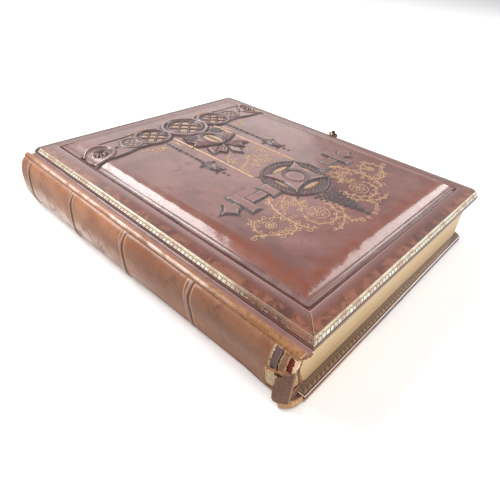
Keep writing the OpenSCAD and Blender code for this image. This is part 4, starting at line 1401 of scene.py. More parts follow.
@dataclass
class EdgeSweep:
    """Carries a moulding round a board, sharp at the spine corners and round at the fore-edge ones."""

    width: float
    height: float
    base_z: float
    fore_r: float = 8.0
    spine_r: float = 0.5
    least_r: float = 0.5
    pitch: float = 1.6

    def stations(self) -> list[tuple[int, float, float]]:
        """Corner number, share of its arc and share of the side after it, once round the board."""
        stops: list[tuple[int, float, float]] = []
        for corner in range(4):
            arc = 10 if corner < 2 else 4
            stops += [(corner, i / arc, 0.0) for i in range(arc)]
            side = self.height if corner % 2 == 0 else self.width
            count = int(side / self.pitch)
            stops += [(corner, 1.0, i / count) for i in range(count)]
        return stops + [(4, 0.0, 0.0)]

    def corner_point(self, corner: int, share: float, inset: Array) -> tuple[Array, Array]:
        """Place on a corner's arc: corners run tail fore-edge, head fore-edge, head spine, tail spine."""
        corner %= 4
        sign_x, sign_y = ((1, -1), (1, 1), (-1, 1), (-1, -1))[corner]
        radius = np.maximum((self.fore_r if corner < 2 else self.spine_r) - inset, self.least_r)
        angle = math.radians(-90 + 90 * corner + 90 * share)
        cx = sign_x * (self.width / 2 - inset - radius)
        cy = sign_y * (self.height / 2 - inset - radius)
        return cx + radius * math.cos(angle), cy + radius * math.sin(angle)

    def build(self, name: str, profile: Points) -> Piece:
        """Sweep the profile and close the two faces inside it.

        Args:
            name: Name of the piece.
            profile: Inset from the edge and height, from the underside round to the top.

        Returns:
            The closed board, with its run and its place on the profile as UV, in millimetres.
        """
        inset, rise = (np.array(side, float) for side in zip(*profile))
        along = np.concatenate([[0], np.cumsum(np.hypot(np.diff(inset), np.diff(rise)))])
        stops = self.stations()
        board = grid(name, len(stops) - 1, len(profile) - 1, 1, 1)
        flat = points_of(board)
        column = np.rint((flat[:, 0] + 0.5) * (len(stops) - 1)).astype(int)
        row = np.rint((flat[:, 1] + 0.5) * (len(profile) - 1)).astype(int)
        ring = np.empty((len(stops), len(profile), 2))
        for i, (corner, arc, side) in enumerate(stops):
            start = self.corner_point(corner, arc, inset)
            end = self.corner_point(corner + 1, 0.0, inset)
            ring[i, :, 0] = start[0] + (end[0] - start[0]) * side
            ring[i, :, 1] = start[1] + (end[1] - start[1]) * side
        outer = ring[:, int(np.argmin(inset))]
        run = np.concatenate([[0], np.cumsum(np.hypot(*np.diff(outer, axis=0).T))])
        put_points(board, np.column_stack([ring[column, row], self.base_z + rise[row]]))
        west = np.array([stop[:2] == (2, 1.0) or stop == (3, 0.0, 0.0) for stop in stops], float)
        mark(board, "west", west[column])
        mark(board, "inset", inset[row])
        mark(board, "rise", rise[row])
        self.keep_uv(board, run[column], along[row])
        cap(board)
        return board

    @staticmethod
    def keep_uv(board: Piece, run: Array, along: Array) -> None:
        """Write the run and the place on the profile as UV, before the seam is merged."""
        corner = np.empty(len(board.data.loops), np.int32)
        board.data.loops.foreach_get("vertex_index", corner)
        board.data.uv_layers[0].data.foreach_set("uv", np.column_stack([run[corner], along[corner]]).ravel())


@dataclass
class MouldedFrame:
    """Front board: gilt bevel, curved moulding with mitred corners and groove."""

    form: CoverForm
    deep: float = 24.0

    def profile(self) -> list[tuple[float, float]]:
        """Profile from the underside, round the edge and in to the panel's seat."""
        form = self.form
        low = [
            (self.deep, 0), (2.0, 0), (0.9, 0.05), (0.3, 0.3), (0.05, 0.9), (0, 1.8), (0, 3.1),
            (0.1, 3.45),
        ]
        bevel = [(0.3, form.edge_h)] + [
            (0.3 + s * (form.bevel_w - 0.5), form.edge_h + 0.1 + s * (form.bevel_top - form.edge_h - 0.15))
            for s in (0.06, 0.25, 0.5, 0.75, 0.94)
        ]
        line = [(form.bevel_w - 0.05, 6.58), (form.bevel_w + 0.35, form.bevel_top + 0.06)]
        slope = []
        for t in np.arange(4.0, form.frame_w - 0.9, 0.7):
            share = abs(t - form.crest_in) / (form.crest_in - form.bevel_w)
            lift = 1 - share ** (1.05 if t < form.crest_in else 2)
            slope.append((float(t), form.bevel_top + form.rise * lift))
        end = slope[-1][1]
        groove = [
            (14.95, end - 0.05), (15.1, end - 0.4), (15.35, end - 0.4), (15.5, end - 0.1),
            (15.75, end - 0.35),
        ]
        floor = [(15.95, 6.3), (16.15, 5.95), (16.6, 5.8), (17.2, 5.95), (17.9, 6.0), (self.deep, 6.0)]
        return low + bevel + line + slope + groove + floor

    def build(self, leather: Material) -> Piece:
        """Make the board.

        Args:
            leather: Material with the gilt roll.

        Returns:
            The board, standing for its solid.
        """
        form = self.form
        sweep = EdgeSweep(form.board_w, form.board_h, form.front_z, form.corner_r)
        board = sweep.build("front_board_leather", self.profile())
        dress(board, leather)
        smooth(board, 40)
        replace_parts(board, "front_board")
        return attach(board, "front_cover")


@dataclass
class BackBoard:
    """Thin back board with a tooled turn-in inside, sprung a little out of square at the tail."""

    form: CoverForm
    thick: float = 3.7
    deep: float = 14.0
    skew: float = 1.8

    def build(self, leather: Material) -> Piece:
        """Make the board.

        Args:
            leather: Material with the tooled turn-in.

        Returns:
            The board, standing for its solid.
        """
        form, t = self.form, self.thick
        profile = [
            (self.deep, 0), (1.4, 0), (0.6, 0.08), (0.2, 0.35), (0, 0.9), (0, 1.5), (0.12, 1.75),
            (0.12, 2.1),
        ]
        profile += [
            (0, 2.35), (0, t - 0.8), (0.15, t - 0.35), (0.5, t - 0.08), (1.2, t), (3, t), (6, t),
            (self.deep, t),
        ]
        sweep = EdgeSweep(form.board_w, form.board_h, 0.0, form.corner_r)
        board = sweep.build("back_board_leather", profile)
        places = points_of(board)
        corner = ease(form.board_w / 2, -form.board_w / 2, places[:, 0])
        tail = -form.board_h / 2
        places[:, 1] -= self.skew * corner * ease(tail + 40, tail + 6, places[:, 1])
        put_points(board, places)
        near = ease(tail + 9, tail + 3, places[:, 1])
        mark(board, "worn", near * ease(-20 + 8 * Wave(51, 12, 6).line(places[:, 0]), -70, places[:, 0]))
        dress(board, leather)
        smooth(board, 40)
        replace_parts(board, "back_board")
        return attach(board, "back_cover")


class SpineForm:
    """Section of the rounded spine between its two ridges, in millimetres."""

    HINGE_X = -124.2
    RIDGES = (42.45, 2.0)
    RIDGE_R = 1.5
    MIDDLE = 22.225
    HALF = 19.175
    BULGE = 7.3
    POWER = 2.6

    def __init__(self) -> None:
        """Trace the section from the upper ridge round to the lower one."""
        top = [self.ridge_point(self.RIDGES[0], a) for a in np.linspace(45, 200, 24)]
        turn = np.radians(np.linspace(84, -84, 90))
        body = [
            (
                self.HINGE_X - self.BULGE * math.cos(a) ** (2 / self.POWER),
                self.MIDDLE + self.HALF * math.copysign(abs(math.sin(a)) ** (2 / self.POWER), a),
            )
            for a in turn
        ]
        low = [self.ridge_point(self.RIDGES[1], a) for a in np.linspace(160, 315, 24)]
        trace = np.array(top + body + low)
        for _ in range(3):
            trace[1:-1] = (trace[:-2] + 2 * trace[1:-1] + trace[2:]) / 4
        self.run = np.concatenate([[0], np.cumsum(np.hypot(*np.diff(trace, axis=0).T))])
        self.x, self.z = trace[:, 0], trace[:, 1]
        tangent_x, tangent_z = np.gradient(self.x, self.run), np.gradient(self.z, self.run)
        size = np.hypot(tangent_x, tangent_z)
        self.out_x, self.out_z = tangent_z / size, -tangent_x / size

    def ridge_point(self, height: float, angle: float) -> tuple[float, float]:
        """Place on a ridge's roll."""
        a = math.radians(angle)
        return self.HINGE_X + self.RIDGE_R * math.cos(a), height + self.RIDGE_R * math.sin(a)

    @property
    def length(self) -> float:
        """Length of the section."""
        return float(self.run[-1])

    def z_at(self, run: Array) -> Array:
        """Height at a distance along the section."""
        return np.interp(run, self.run, self.z)

    def run_at(self, height: Array | float) -> Array:
        """Distance along the section at a height."""
        return np.interp(-np.asarray(height), -self.z[8:-8], self.run[8:-8])

    def push(self, y: Array, z: Array) -> Array:
        """How far the worn lower half of the spine has sunk in."""
        sunk = np.interp(
            y, [-150, -127, -110, -75, -35, 0, 60, 150], [2.6, 2.8, 4.6, 3.4, 2.0, 0.8, 0.0, 0.0]
        )
        return sunk * ease(34, 12, z) * (0.45 + 0.55 * ease(0.5, 7, z))

    def place(self, run: Array, y: Array, lift: Array | float = 0.0) -> Array:
        """Places on the spine, lifted along its outward direction."""
        x, z = np.interp(run, self.run, self.x), self.z_at(run)
        out_x, out_z = np.interp(run, self.run, self.out_x), np.interp(run, self.run, self.out_z)
        x = x + out_x * lift + self.push(y, z)
        return np.stack([x, y + 0 * x, z + out_z * lift], 1)


@dataclass
class Spine:
    """Leather of the spine with its five bands and its torn tail."""

    form: SpineForm
    half_l: float = 150.0
    band_reach: float = 136.5
    band_w: float = 3.6
    band_h: float = 0.8
    thick: float = 1.1
    tear_high: float = -133.6
    tear_low: float = -130.6
    tear_z: float = 26.6

    def band_places(self) -> list[float]:
        """Y of each band, from tail to head."""
        return [self.band_reach * (i - 2) / 2 for i in range(5)]

    def between(self, run: Array) -> Array:
        """1 between the two ridges, where the bands lie, falling to 0 at each ridge."""
        return ease(4.2, 6.2, run) * ease(self.form.length - 4.5, self.form.length - 7, run)

    def lift(self, run: Array, y: Array) -> Array:
        """Bands, fillets and dents over the bare section; bands are low where the open board comes."""
        between = self.between(run)
        lower = between * (1 - 0.75 * ease(34.5, 38.0, self.form.z_at(run)))
        height = np.zeros(run.shape)
        for place in self.band_places():
            away = np.abs(y - place)
            height += self.band_h * ease(self.band_w / 2 + 0.4, self.band_w / 2 - 0.3, away) * lower
            for line in (self.band_w / 2 + 0.9, self.band_w / 2 + 2.1):
                height -= 0.28 * bell(away, line, 0.35) * between
        return height + 0.18 * Wave(5, 45, 7).field(run, y) * ease(2.5, 8.0, run)

    def torn_edge(self, run: Array, y: Array) -> Array:
        """Y of the torn edge, beyond which the leather is gone at the tail."""
        z = self.form.z_at(run)
        edge_high = self.tear_high + 0.35 * Wave(21, 5, 5).line(z)
        edge_low = self.tear_low + 0.35 * Wave(22, 6, 5).line(z)
        tear = np.where(z > self.tear_z + 0.4 * Wave(23, 4, 4).line(y), edge_high, edge_low)
        tear = np.where(z > 40.6, -149.2 + 0.6 * Wave(24, 4, 4).line(z * 3 + run), tear)
        return np.where(z < 3.2, -146.5 + 0.6 * Wave(25, 5, 4).line(z), tear)

    def raw(self, run: Array, y: Array, edge: Array) -> Array:
        """Bare fibre along the tear and on the worn upper ridge, wide and ragged towards the tail."""
        tear = ease(1.5, 0.9, y - edge) * ease(-120, -126, y)
        ragged = 1.1 * Wave(41, 9, 8).line(y) + 0.8 * Wave(42, 2.5, 6).line(y)
        reach = 2.8 + 2.7 * ease(-20, -110, y) + ragged
        worn = ease(reach + 0.5, reach - 0.5, run) * (0.28 + 0.4 * ease(0, -80, y))
        return np.maximum(tear, worn)

    def build(self, leather: Material) -> Piece:
        """Make the spine's leather as a thick sheet.

        Args:
            leather: Spine leather, which reads the wear from the mesh.

        Returns:
            The leather, standing for its solid.
        """
        form = self.form
        sheet = grid("spine_leather_skin", 300, 84, 2 * self.half_l, form.length)
        flat = points_of(sheet)
        y, run = flat[:, 0], form.length / 2 - flat[:, 1]
        put_points(sheet, form.place(run, y, self.lift(run, y)))
        mark(sheet, "between", self.between(run))
        edge = self.torn_edge(run, y)
        # Painted highlight: a thin bright line along the upper ridge, clear of raw fibre.
        ridge_highlight = bell(run, 2.1, 0.5) * ease(-118, -70, y) * ease(140, 110, y)
        mark(sheet, "raw", self.raw(run, y, edge) * (1 - ridge_highlight))
        mark(sheet, "band", 0.12 * ease(-10, -100, y) * ease(6, 14, run))
        under = bell(run, 4.2 + 0.8 * Wave(43, 7, 8).line(y), 0.5) * 0.55 * ease(-80, -30, y)
        mark(sheet, "ink", under)
        mark(sheet, "age", 0.5 * ease(10, -60, y) * ease(40, 14, run))
        # Painted reflection of the pale floor on the lower spine, stronger towards the head.
        floor_sheen = 0.9 * ease(20, 34, run) * ease(-70, 60, y) + 0.5 * ease(26, 34, run) * ease(40, 80, y)
        mark(sheet, "rub", np.maximum(1.6 * ridge_highlight, floor_sheen))
        drop(sheet, y < edge)
        modify(sheet, "SOLIDIFY", thickness=self.thick * MM, offset=-1, use_rim=True, use_even_offset=True)
        outward(sheet)
        dress(sheet, leather)
        smooth(sheet, 50)
        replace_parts(sheet, "spine_leather")
        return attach(sheet, "block")


@dataclass
class LeafBlock:
    """Thick card leaves with a round back, and the lining glued on it."""

    spine: SpineForm
    low_z: float = 4.15
    high_z: float = 41.35
    half_l: float = 144.2
    fore_x: float = 111.5
    hollow: float = 1.4
    back_x: float = -121.5
    bulge: float = 7.2
    power: float = 2.4
    leaves: int = 14
    notch: float = 0.22

    def back(self, rise: Array, y: Array, grow: float = 0.0) -> Array:
        """X of the round back at a height, sunk where the spine is sunk."""
        half = (self.high_z - self.low_z) / 2
        share = np.clip(np.abs(rise - self.low_z - half) / half, 0, 1)
        round_x = self.back_x - (self.bulge + grow) * (1 - share**self.power) ** (1 / self.power)
        return round_x + self.spine.push(y, rise) * ease(0, 5, self.back_x - round_x)

    def section(self, y: float) -> Array:
        """Outline of the leaves across the spine."""
        rise = np.linspace(self.low_z, self.high_z, self.leaves * 6 + 1)
        share = (rise - self.low_z) / (self.high_z - self.low_z)
        part = (share * self.leaves) % 1
        inner = (share > 0.01) & (share < 0.99)
        notch = self.notch * bell(np.minimum(part, 1 - part), 0.0, 0.09) * inner
        fore = self.fore_x - self.hollow * (1 - (2 * share - 1) ** 2) - notch
        torn = ease(-137.5, -142.5, y) * ease(10.5, 4.5, rise)
        back = self.back(rise, np.full(rise.shape, y)) + 13.5 * torn
        top = np.linspace(fore[-1], back[-1], 24)[1:-1]
        return np.vstack([
            np.column_stack([fore, rise]),
            np.column_stack([top, np.full(top.shape, self.high_z)]),
            np.column_stack([back[::-1], rise[::-1]]),
            np.column_stack([top[::-1], np.full(top.shape, self.low_z)]),
        ])

    def build(self, paper: Material) -> Piece:
        """Make the leaves.

        Args:
            paper: Gilt edges of the leaves.

        Returns:
            The leaves, standing for their solid.
        """
        ends = [-self.half_l, -self.half_l + 0.25, -142.6, -141.2]
        stops = np.concatenate([ends, np.linspace(-140, 140, 57), [self.half_l - 0.25, self.half_l]])
        sections = [self.section(float(y)) for y in stops]
        count = len(sections[0])
        block = grid("leaves_gilt_edges", count, len(stops) - 1, 1, 1)
        flat = points_of(block)
        column = np.rint((flat[:, 0] + 0.5) * count).astype(int) % count
        row = np.rint((flat[:, 1] + 0.5) * (len(stops) - 1)).astype(int)
        ring = np.array(sections)[row, column]
        put_points(block, np.column_stack([ring[:, 0], stops[row], ring[:, 1]]))
        cap(block)
        dress(block, paper)
        smooth(block, 30)
        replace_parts(block, "text_block")
        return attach(block, "block")

    def lining(self, paper: Material) -> Piece:
        """Make the lining glued round the back of the leaves.

        Args:
            paper: Cream lining.

        Returns:
            The lining, standing for its solid.
        """
        rise = np.linspace(self.low_z + 1.2, self.high_z - 1.2, 41)
        sheet = grid("spine_lining_sheet", 90, len(rise) - 1, 2 * self.half_l + 1.6, 1)
        flat = points_of(sheet)
        height = np.interp(flat[:, 1], np.linspace(-0.5, 0.5, len(rise)), rise)
        x = self.back(height, flat[:, 0], 0.45)
        put_points(sheet, np.column_stack([x, flat[:, 0], height]))
        # Dark brown near the torn tail: glue stain and painted shade in the hollow behind the scraps.
        mark(sheet, "glue", ease(-120, -128, flat[:, 0]))
        drop(sheet, flat[:, 0] < -137)
        modify(sheet, "SOLIDIFY", thickness=0.5 * MM, offset=0, use_rim=True)
        outward(sheet)
        dress(sheet, paper)
        smooth(sheet, 50)
        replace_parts(sheet, "spine_lining")
        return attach(sheet, "block")


@dataclass
class Joint:
    """Narrow joint leather from a ridge of the spine to its board."""

    form: CoverForm
    upper: bool
    half_l: float = 149.6

    def build(self, leather: Material) -> Piece:
        """Make the strip.

        Args:
            leather: Joint leather.

        Returns:
            The strip, standing for its solid.
        """
        name = "front" if self.upper else "back"
        ridge_x, edge_x = SpineForm.HINGE_X + 1.1, -self.form.board_w / 2 + 0.25
        if self.upper:
            level, sign = 42.9, 1.0
        else:
            level, sign = 1.55, -1.0
        strip = grid(f"{name}_joint_skin", 22, 220, 1, 2 * self.half_l)

        def lay(x: Array, y: Array) -> Array:
            """Dip the strip between ridge and board."""
            share = x + 0.5
            dip = 0.55 * (1 - ease(0, 0.3, share)) + 0.5 * ease(0.8, 1.0, share)
            lines = sum(0.22 * bell(share, at, 0.035) for at in (0.3, 0.52, 0.74))
            rough = 0.12 * Wave(31, 30, 7).field(x * 5, y)
            height = level + sign * (dip - lines + rough)
            return np.stack([ridge_x + (edge_x - ridge_x) * share, y, height], 1)

        shaped(strip, lay)
        share = points_of(strip)[:, 0]
        share = (share - ridge_x) / (edge_x - ridge_x)
        lines = bell(share, 0.5, 0.05) + ease(0.88, 0.98, share)
        mark(strip, "ink", 0.35 * np.clip(lines, 0, 1) + 0.2 * bell(share, 0.66, 0.1))
        mark(strip, "band", 0.3 * ease(0.5, 0.62, share))
        # Light line at the ridge edge: painted highlight on worn leather.
        mark(strip, "rub", 0.7 * ease(0.1, 0.02, share))
        modify(strip, "SOLIDIFY", thickness=0.7 * MM, offset=-sign, use_rim=True)
        outward(strip)
        dress(strip, leather)
        smooth(strip, 60)
        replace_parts(strip, f"{name}_joint")
        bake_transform(strip)
        return strip


@dataclass
class TornTail:
    """Scraps of leather, cloth, card and glue bared where the spine is torn at the tail."""

    GLUE_Z: ClassVar = (1.7, 10.0, 22.3, 32.6, 41.4)
    GLUE_X: ClassVar = (-110.3, -114.6, -118.9, -116.9, -115.6)

    spine: SpineForm
    block: LeafBlock
    high_z: float = 41.2
    tear_z: float = 25.8

    def scrap(
        self,
        name: str,
        shape: Shape,
        material: Material,
        marks: Marks | None = None,
        faces: tuple[int, int] = (24, 48),
        thick: float = 0.7,
    ) -> Piece:
        """Make one thick torn sheet.

        Args:
            name: Name of the piece.
            shape: Gives places from the share across and the share along the sheet.
            material: Finish of the piece.
            marks: Gives the numbers kept for the material, from the same shares.
            faces: Number of faces across and along.
            thick: Thickness, laid behind the sheet.

        Returns:
            The sheet, riding on the block.
        """
        sheet = grid(name, *faces, 1, 1)
        share = points_of(sheet)[:, :2] + 0.5
        put_points(sheet, shape(share[:, 0], share[:, 1]))
        for key, values in (marks(share[:, 0], share[:, 1]) if marks else {}).items():
            mark(sheet, key, values)
        modify(sheet, "SOLIDIFY", thickness=thick * MM, offset=0, use_rim=True)
        outward(sheet)
        dress(sheet, material)
        smooth(sheet, 50)
        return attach(sheet, "block")

    def wrapped(
        self, across: tuple[float, float], down: tuple[float, float], lift: float, ragged: float, seed: int
    ) -> Shape:
        """Shape of a strip wrapped on the spine.

        Args:
            across: Y of its two edges.
            down: Height of its upper and lower ends.
            lift: Distance outside the spine's section.
            ragged: Roughness of the edges.
            seed: Seed of the roughness.

        Returns:
            A shape for scrap().
        """
        def lay(u: Array, v: Array) -> Array:
            """Lay the strip from its upper end to its lower end."""
            run = np.interp(v, [0, 1], self.spine.run_at(np.array(down)))
            run = run + ragged * 0.7 * Wave(seed + 3, 3, 5).line(u * 9) * ease(0.8, 1.0, v)
            edge = ragged * (Wave(seed, 4, 6).line(run) * (1 - u) + Wave(seed + 1, 4, 6).line(run) * u)
            y = across[0] + (across[1] - across[0]) * u + edge
            crumple = 0.16 * Wave(seed + 2, 6, 6).field(run, y)
            return self.spine.place(run, y, lift + crumple)

        return lay

    def scraps_above(
        self, leather: Material, paper: Material, cloth: Material
    ) -> None:
        """Broken end band, edge of the tear, end panel and red cloth over the tear."""
        band = self.wrapped((-138.5, -133.7), (self.high_z, self.tear_z + 1.8), 0.0, 0.16, 61)
        self.scrap("tail_band_strip", band, leather, lambda u, v: {
            "band": ease(0.04, 0.2, u) * ease(1.0, 0.84, u),
            "ink": np.maximum(ease(0.16, 0.02, u), ease(0.86, 1.0, u)),
        })

        def frayed(u: Array, v: Array) -> dict[str, Array]:
            """Raw fibre at the edges of the end panel, browner inside."""
            edge = np.minimum(np.minimum(u, 1 - u) * 4, np.minimum(v, 1 - v) * 16)
            patch = 0.5 + 0.5 * Wave(72, 2, 6).field(u * 5, v * 16)
            return {
                "raw": np.clip(0.75 + 0.3 * ease(0.7, 0.1, edge), 0, 1),
                "ink": ease(0.1, 0.7, edge) * (0.3 + 0.35 * patch),
            }

        edge = self.wrapped((-134.0, -132.4), (self.high_z - 0.4, self.tear_z + 1.0), 0.3, 0.2, 131)
        self.scrap("tail_tear_edge", edge, paper, lambda u, v: {
            "glue": 0.45 + 0.15 * u,
        }, (6, 60), 0.9)
        panel = self.wrapped((-143.6, -139.5), (self.high_z - 0.2, self.tear_z + 4.2), 0.15, 0.32, 71)
        self.scrap("tail_end_panel", panel, leather, frayed)
        shred = self.wrapped((-146.6, -143.4), (self.high_z - 0.9, self.tear_z + 7.0), -0.7, 0.4, 81)
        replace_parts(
            self.scrap("tail_red_cloth", shred, cloth, faces=(12, 48), thick=0.5),
            "tail_cloth",
        )

    def tear(self, leather: Material) -> None:
        """Raw lip of leather that stands out along the tear across the spine."""
        def lay(u: Array, v: Array) -> Array:
            """Lay the lip from the main leather towards the tail."""
            y = -132.6 - 13.8 * v
            height = self.tear_z + 0.6 + 6.2 * v**1.1 + 0.3 * Wave(91, 3, 6).line(y)
            height += (0.5 - u) * (1.4 + 2.2 * v**3)
            lift = 0.55 + 0.5 * np.sin(np.pi * u) + 0.3 * Wave(92, 3, 5).line(y) - 2.2 * ease(0.75, 1.0, v)
            return self.spine.place(self.spine.run_at(height), y, lift)

        self.scrap("tail_tear_lip", lay, leather, lambda u, v: {
            "raw": (0.65 + 0.35 * u) * ease(0.9, 0.7, v),
            "ink": 0.3 * ease(0.7, 0.85, v),
        }, (8, 60), 0.8)

    def cards(self, paper: Material) -> None:
        """Card strips of the hollow back, bared under the tear."""
        folds = (-130.9, -133.0, -134.6, -136.4, -138.2)

        def lay(u: Array, v: Array) -> Array:
            """Lay the strips down the spine, with a step at each fold."""
            y = -139.8 + 10.6 * u
            run = np.interp(v, [0, 1], self.spine.run_at(np.array([self.tear_z + 2.4, 3.4])))
            steps = sum(0.28 * ease(fold - 0.2, fold + 0.2, y) for fold in folds)
            return self.spine.place(run, y, -1.7 + steps + 0.1 * Wave(95, 12, 5).field(run, y))

        def marks(u: Array, v: Array) -> dict[str, Array]:
            """Dark lines in the folds, and painted shadow under the tear away from the main leather."""
            y = -139.8 + 10.6 * u + 0.25 * Wave(96, 9, 4).line(v * 20)
            lines = sum(bell(y, fold, 0.3) for fold in folds)
            shadow = 0.8 * ease(-135.2, -136.6, y) * ease(0.34, 0.26, v)
            return {"glue": np.clip(0.42 * lines + shadow, 0, 1)}

        self.scrap("tail_card_strips", lay, paper, marks, (60, 30), 0.5)

    def flap(self, leather: Material) -> None:
        """Loose flap of spine leather with gilt lines, hanging inwards below the tear."""
        low, high = 3.4, 22.6

        def lay(u: Array, v: Array) -> Array:
            """Curl the flap from the spine towards the tail."""
            crown = 8.6 * ease(-0.1, 0.75, u)
            height = low + (high + crown - low) * v + 0.3 * Wave(101, 4, 5).line(u * 9) * v
            y = -138.9 - (8.3 + 1.2 * v) * u - 0.5 * np.sin(np.pi * v) * u
            x = -132.3 + 1.2 * u + 3.9 * u**2.2 + 0.9 * ease(0.5, 1.0, v) * (1 - u)
            x = x - 0.5 * np.sin(np.pi * v) + 0.15 * Wave(102, 5, 5).field(y, height)
            return np.stack([x + 1.1 * ease(0.25, 0.0, v), y, height], 1)

        def marks(u: Array, v: Array) -> dict[str, Array]:
            """Broken gilt lines down the flap and raw leather along its end."""
            dots = ease(-0.25, 0.25, np.sin(v * 46 + 2 * np.sin(u * 9)))
            wander = u + 0.02 * Wave(103, 6, 5).line(v * 20)
            lines = sum(bell(wander, at, 0.035) for at in (0.3, 0.44, 0.66))
            raw = np.maximum(ease(0.86, 0.93, u), ease(0.95, 0.99, v) * 0.8)
            fade = 0.5 + 0.5 * Wave(104, 2, 6).field(u * 8, v * 20)
            gold = np.clip(lines * dots * (0.3 + fade), 0, 1) * 0.5
            return {"ink": 0.25 + 0.3 * fade, "gilt": gold, "raw": raw, "age": 0.5 + 0 * u}

        self.scrap("tail_loose_flap", lay, leather, marks, (44, 88), 0.9)

    def roll(self, leather: Material) -> None:
        """Tan roll where the flap's foot is turned under beside the back board."""
        spots = np.array(
            [[-130.0, -142.4, 1.9], [-127.8, -147.6, 2.2], [-123.6, -149.6, 2.4], [-117.8, -149.6, 2.0]]
        )

        def lay(u: Array, v: Array) -> Array:
            """Turn round the roll's line, which is smoothed through its spots."""
            weights = np.stack([(1 - v) ** 3, 3 * v * (1 - v) ** 2, 3 * v**2 * (1 - v), v**3])
            line = np.einsum("ks,kc->sc", weights, spots)
            radius = 1.75 - 0.35 * v + 0.05 * Wave(111, 3, 4).line(v * 12)
            angle = np.radians(-80 + 330 * u)
            away, up = radius * np.cos(angle), radius * np.sin(angle)
            return line + np.stack([0.66 * away, 0.75 * away, up], 1)

        self.scrap("tail_rolled_foot", lay, leather, lambda u, v: {
            "raw": 0.97 + 0.03 * Wave(112, 3, 5).line(v * 12),
        }, (32, 40), 0.5)

    @property
    def face(self) -> float:
        """Y of what lies on the tail end of the leaves."""
        return -self.block.half_l - 0.2

    def glue_at(self, height: Array) -> Array:
        """X of the line of glue on the end of the leaves."""
        return np.interp(height, self.GLUE_Z, self.GLUE_X)

    def end_lining(self, paper: Material) -> None:
        """Cream lining from the round back to the line of glue."""
        def cream(u: Array, v: Array) -> Array:
            """Fill from the round back to the line of glue."""
            height = self.tear_z - 0.6 + (self.high_z - 1.4 - self.tear_z) * v
            back = self.block.back(height, np.full(height.shape, self.face)) + 0.1
            end = self.glue_at(height) + 0.3 * Wave(121, 3, 6).line(height)
            puff = 0.35 * np.sin(np.pi * u) ** 0.5
            return np.stack([back + (end - back) * u, self.face - puff, height], 1)

        self.scrap("tail_end_lining", cream, paper, lambda u, v: {
            "glue": 0.75 * ease(0.1, 0.0, v) + 0.25 * ease(0.8, 1.0, u),
        }, (24, 40), 0.3)

    def glue_line(self, leather: Material) -> None:
        """Crusted line of glue down the end of the leaves."""
        def glue(u: Array, v: Array) -> Array:
            """Run a crusted line down the end of the leaves."""
            height = 4.6 + (self.high_z - 1.4 - 4.6) * v
            middle = self.glue_at(height) + 0.7 * Wave(122, 3.2, 8).line(height)
            width = 1.15 + 0.55 * Wave(123, 2.2, 8).line(height)
            width += 0.8 * ease(14, 9, height) * ease(4, 7, height)
            out = self.face - 0.15 - 0.35 * np.sin(np.pi * u)
            return np.stack([middle + width * (u - 0.5), out, height], 1)

        self.scrap("tail_glue_line", glue, leather, lambda u, v: {
            "raw": 0.25 + 0.25 * Wave(124, 2, 5).line(v * 30),
            "ink": 0.45 + 0.35 * Wave(125, 2, 5).line(v * 40),
        }, (8, 160), 0.4)

    def joint_ends(self, leather: Material) -> None:
        """Torn joint leather over the back board and under the front board's corner."""
        def hollow_end(u: Array, v: Array) -> Array:
            """Torn leather in the corner over the back board, darkened downwards as painted shade in the
            hollow.
            """
            x = -126.0 + 15.2 * u
            top = np.interp(x, [-126, -120, -114, -110.8], [4.4, 7.2, 7.4, 4.6])
            top += 0.2 * Wave(126, 3, 4).line(x)
            out = self.face - 0.25 - 2.0 * (1 - v) * ease(1.0, 0.2, u)
            return np.stack([x, out, 3.9 + (top - 3.9) * v], 1)

        # Its stain darkens downwards: painted shade in the hollow.
        self.scrap("tail_inner_joint", hollow_end, leather, lambda u, v: {
            "ink": 0.45 + 0.4 * ease(0.7, 0.2, v),
            "raw": 0.4 + 0 * u,
        }, (30, 12), 0.4)

        def ragged_end(u: Array, v: Array) -> Array:
            """Dark edge of the torn joint leather under the front board's corner."""
            x = -124.9 + 7.0 * u
            top = 41.6 - 0.3 * u
            depth = 1.2 + 0.5 * Wave(127, 2.5, 6).line(x) + 0.5 * np.sin(np.pi * u)
            return np.stack([x, -148.4 - 1.6 * u + 0.2 * Wave(128, 3, 4).line(x), top - depth * v], 1)

        self.scrap("tail_joint_end", ragged_end, leather, lambda u, v: {
            "raw": 0.8 * ease(0.7, 1.0, v),
            "ink": 0.5 * ease(0.6, 0.2, v),
        }, (36, 8), 0.6)

    def build(
        self, leather: Material, paper: Material, cloth: Material
    ) -> None:
        """Make every scrap.

        Args:
            leather: Spine leather.
            paper: Cream lining, which reads glue from the mesh.
            cloth: Red cloth.
        """
        self.scraps_above(leather, paper, cloth)
        self.tear(leather)
        self.cards(paper)
        self.flap(leather)
        self.roll(leather)
        self.end_lining(paper)
        self.glue_line(leather)
        self.joint_ends(leather)


